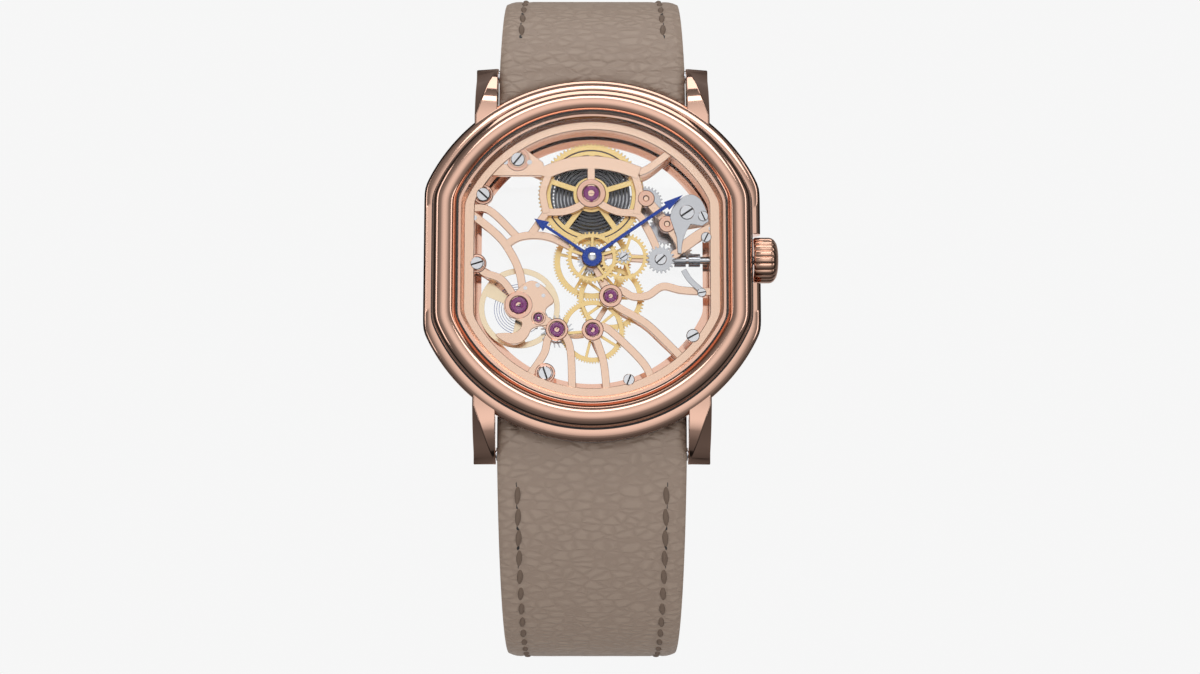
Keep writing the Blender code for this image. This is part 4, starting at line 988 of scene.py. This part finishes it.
long_surface, long_half, long_length, long_body = strap_piece("strap_long", LONG_PATH, -1, 8.0, True)
short_surface, short_half, short_length, short_body = strap_piece("strap_short", SHORT_PATH, 1, 8.2, False)
stitches("stitch_long", long_surface, long_half, 3.2, long_length - 9, long_body)
stitches("stitch_short", short_surface, short_half, 4.6, short_length - 3, short_body)
for label, sz in (("12", 1), ("6", -1)):
    bar = turned([(0, -11.2), (0.4, -11.2), (0.4, -10.05), (0.7, -10.05), (0.7, 10.05), (0.4, 10.05),
                  (0.4, 11.2),
                  (0, 11.2)], along="X", y=BAR_Y, z=sz * BAR_Z, segments=32)
    piece("bar_" + label, [bar], STEEL, "case", "spring_bar_" + label, sharp=30)
adjusting = []
for k in range(7):
    run = long_length - 22 - 6.5 * k
    middle = Vector(long_surface(run, 0, 1.0))
    out = (middle - Vector(long_surface(run, 0, 0.5))).normalized()
    way = (Vector(long_surface(run + 0.1, 0, 1.0)) - middle).normalized()
    rim = [middle + out * 0.015 + way * 1.1 * math.cos(TAU * j / 20) + Vector((0.75, 0,
        0)) * math.sin(TAU * j / 20)
           for j in range(20)]
    rim += [p - out * 0.2 for p in rim]
    adjusting.append(solid(rim, tube_faces(2, 20)))
piece("adjusting_holes", adjusting, SHADE, "strap_6")

# ---------------------------------------------------------------- buckle and keepers keep their CAD shape
FINISH = {"buckle_frame": ROSE, "buckle_tang": ROSE, "buckle_bar": STEEL, "fixed_keeper": EDGE,
          "free_keeper": EDGE}
for name, mat in FINISH.items():
    node = frame["nodes"][name]
    node.data.materials.clear()
    node.data.materials.append(mat)
    soften = node.modifiers.new("bevel", "BEVEL")
    soften.width = 0.0003 if "keeper" in name else 0.0002
    soften.segments = 3
    soften.limit_method = "ANGLE"
    soften.angle_limit = math.radians(38)

# ---------------------------------------------------------------- studio
FLOOR_Z = -0.075
FLOOR_RADIUS = 2.1
floor_rim = [(FLOOR_RADIUS * math.cos(TAU * i / 128), FLOOR_RADIUS * math.sin(TAU * i / 128), FLOOR_Z)
             for i in range(128)]
floor_mesh = bpy.data.meshes.new("floor")
floor_mesh.from_pydata(floor_rim, [], [tuple(range(128))])
floor = bpy.data.objects.new("floor", floor_mesh)
bpy.context.scene.collection.objects.link(floor)
floor_mesh.materials.append(material("pale_floor", (0.93, 0.93, 0.93), 0.9))
floor.visible_glossy = False

world = bpy.data.worlds.new("studio")
bpy.context.scene.world = world
bpy.context.scene.view_settings.view_transform = "Standard"
world.use_nodes = True
tree = world.node_tree
tree.nodes.clear()
place = tree.nodes.new("ShaderNodeTexCoord")
split = tree.nodes.new("ShaderNodeSeparateXYZ")
facing = tree.nodes.new("ShaderNodeMath")
facing.operation = "ABSOLUTE"
shade = tree.nodes.new("ShaderNodeValToRGB")
# What polished metal reflects, by how far a ray points along the dial's axis: (share, grey)
STUDIO = ((0.0, 0.01), (0.12, 0.015), (0.2, 0.09), (0.6, 0.15), (0.86, 0.3), (0.95, 0.75), (1.0, 1.05))
while len(shade.color_ramp.elements) < len(STUDIO):
    shade.color_ramp.elements.new(1.0)
for element, (position, grey) in zip(shade.color_ramp.elements, STUDIO):
    element.position = position
    element.color = (grey, grey, grey, 1)
soft = tree.nodes.new("ShaderNodeBackground")
soft.inputs["Color"].default_value = (0.78, 0.78, 0.78, 1)
lighting = tree.nodes.new("ShaderNodeMixShader")
around = tree.nodes.new("ShaderNodeBackground")
plain = tree.nodes.new("ShaderNodeBackground")
plain.inputs["Color"].default_value = (0.925, 0.925, 0.925, 1)
seen = tree.nodes.new("ShaderNodeLightPath")
mix = tree.nodes.new("ShaderNodeMixShader")
out = tree.nodes.new("ShaderNodeOutputWorld")
tree.links.new(place.outputs["Generated"], split.inputs["Vector"])
tree.links.new(split.outputs["Y"], facing.inputs[0])
tree.links.new(facing.outputs["Value"], shade.inputs["Fac"])
tree.links.new(shade.outputs["Color"], around.inputs["Color"])
tree.links.new(seen.outputs["Is Glossy Ray"], lighting.inputs["Fac"])
tree.links.new(soft.outputs["Background"], lighting.inputs[1])
tree.links.new(around.outputs["Background"], lighting.inputs[2])
tree.links.new(seen.outputs["Is Camera Ray"], mix.inputs["Fac"])
tree.links.new(lighting.outputs["Shader"], mix.inputs[1])
tree.links.new(plain.outputs["Background"], mix.inputs[2])
tree.links.new(mix.outputs["Shader"], out.inputs["Surface"])


def softbox(name, at, aim, wide, tall, power):
    """A rectangular area light turned toward a point."""
    data = bpy.data.lights.new(name, "AREA")
    data.shape = "RECTANGLE"
    data.size = wide
    data.size_y = tall
    data.energy = power
    light = bpy.data.objects.new(name, data)
    light.location = at
    light.rotation_euler = (Vector(aim) - Vector(at)).to_track_quat("-Z", "Y").to_euler()
    bpy.context.scene.collection.objects.link(light)


softbox("top", (0, -0.15, 0.6), (0, 0, 0), 0.7, 0.4, 1.5)
softbox("left", (-0.55, -0.3, 0.1), (0, 0, 0), 0.12, 0.7, 0.4)
softbox("right", (0.5, -0.4, 0.15), (0, 0, 0), 0.1, 0.6, 0.3)
softbox("front_high", (0.05, -0.6, 0.35), (0, 0, 0), 0.5, 0.15, 0.6)

# ---------------------------------------------------------------- camera
RISE = math.radians(10.5)
DISTANCE = 0.22
dial = Vector((0, -0.005, 0))
camera_data = bpy.data.cameras.new("camera")
camera_data.lens = 62.8
camera_data.sensor_width = 36
camera_data.clip_start = 0.01
camera = bpy.data.objects.new("camera", camera_data)
camera.location = dial + Vector((0, -math.cos(RISE), -math.sin(RISE))) * DISTANCE
pitch, yaw = math.radians(8.33), math.radians(0.22)
look = Vector((math.sin(yaw) * math.cos(pitch), math.cos(yaw) * math.cos(pitch), math.sin(pitch)))
camera.rotation_euler = look.to_track_quat("-Z", "Y").to_euler()
bpy.context.scene.collection.objects.link(camera)
bpy.context.scene.camera = camera
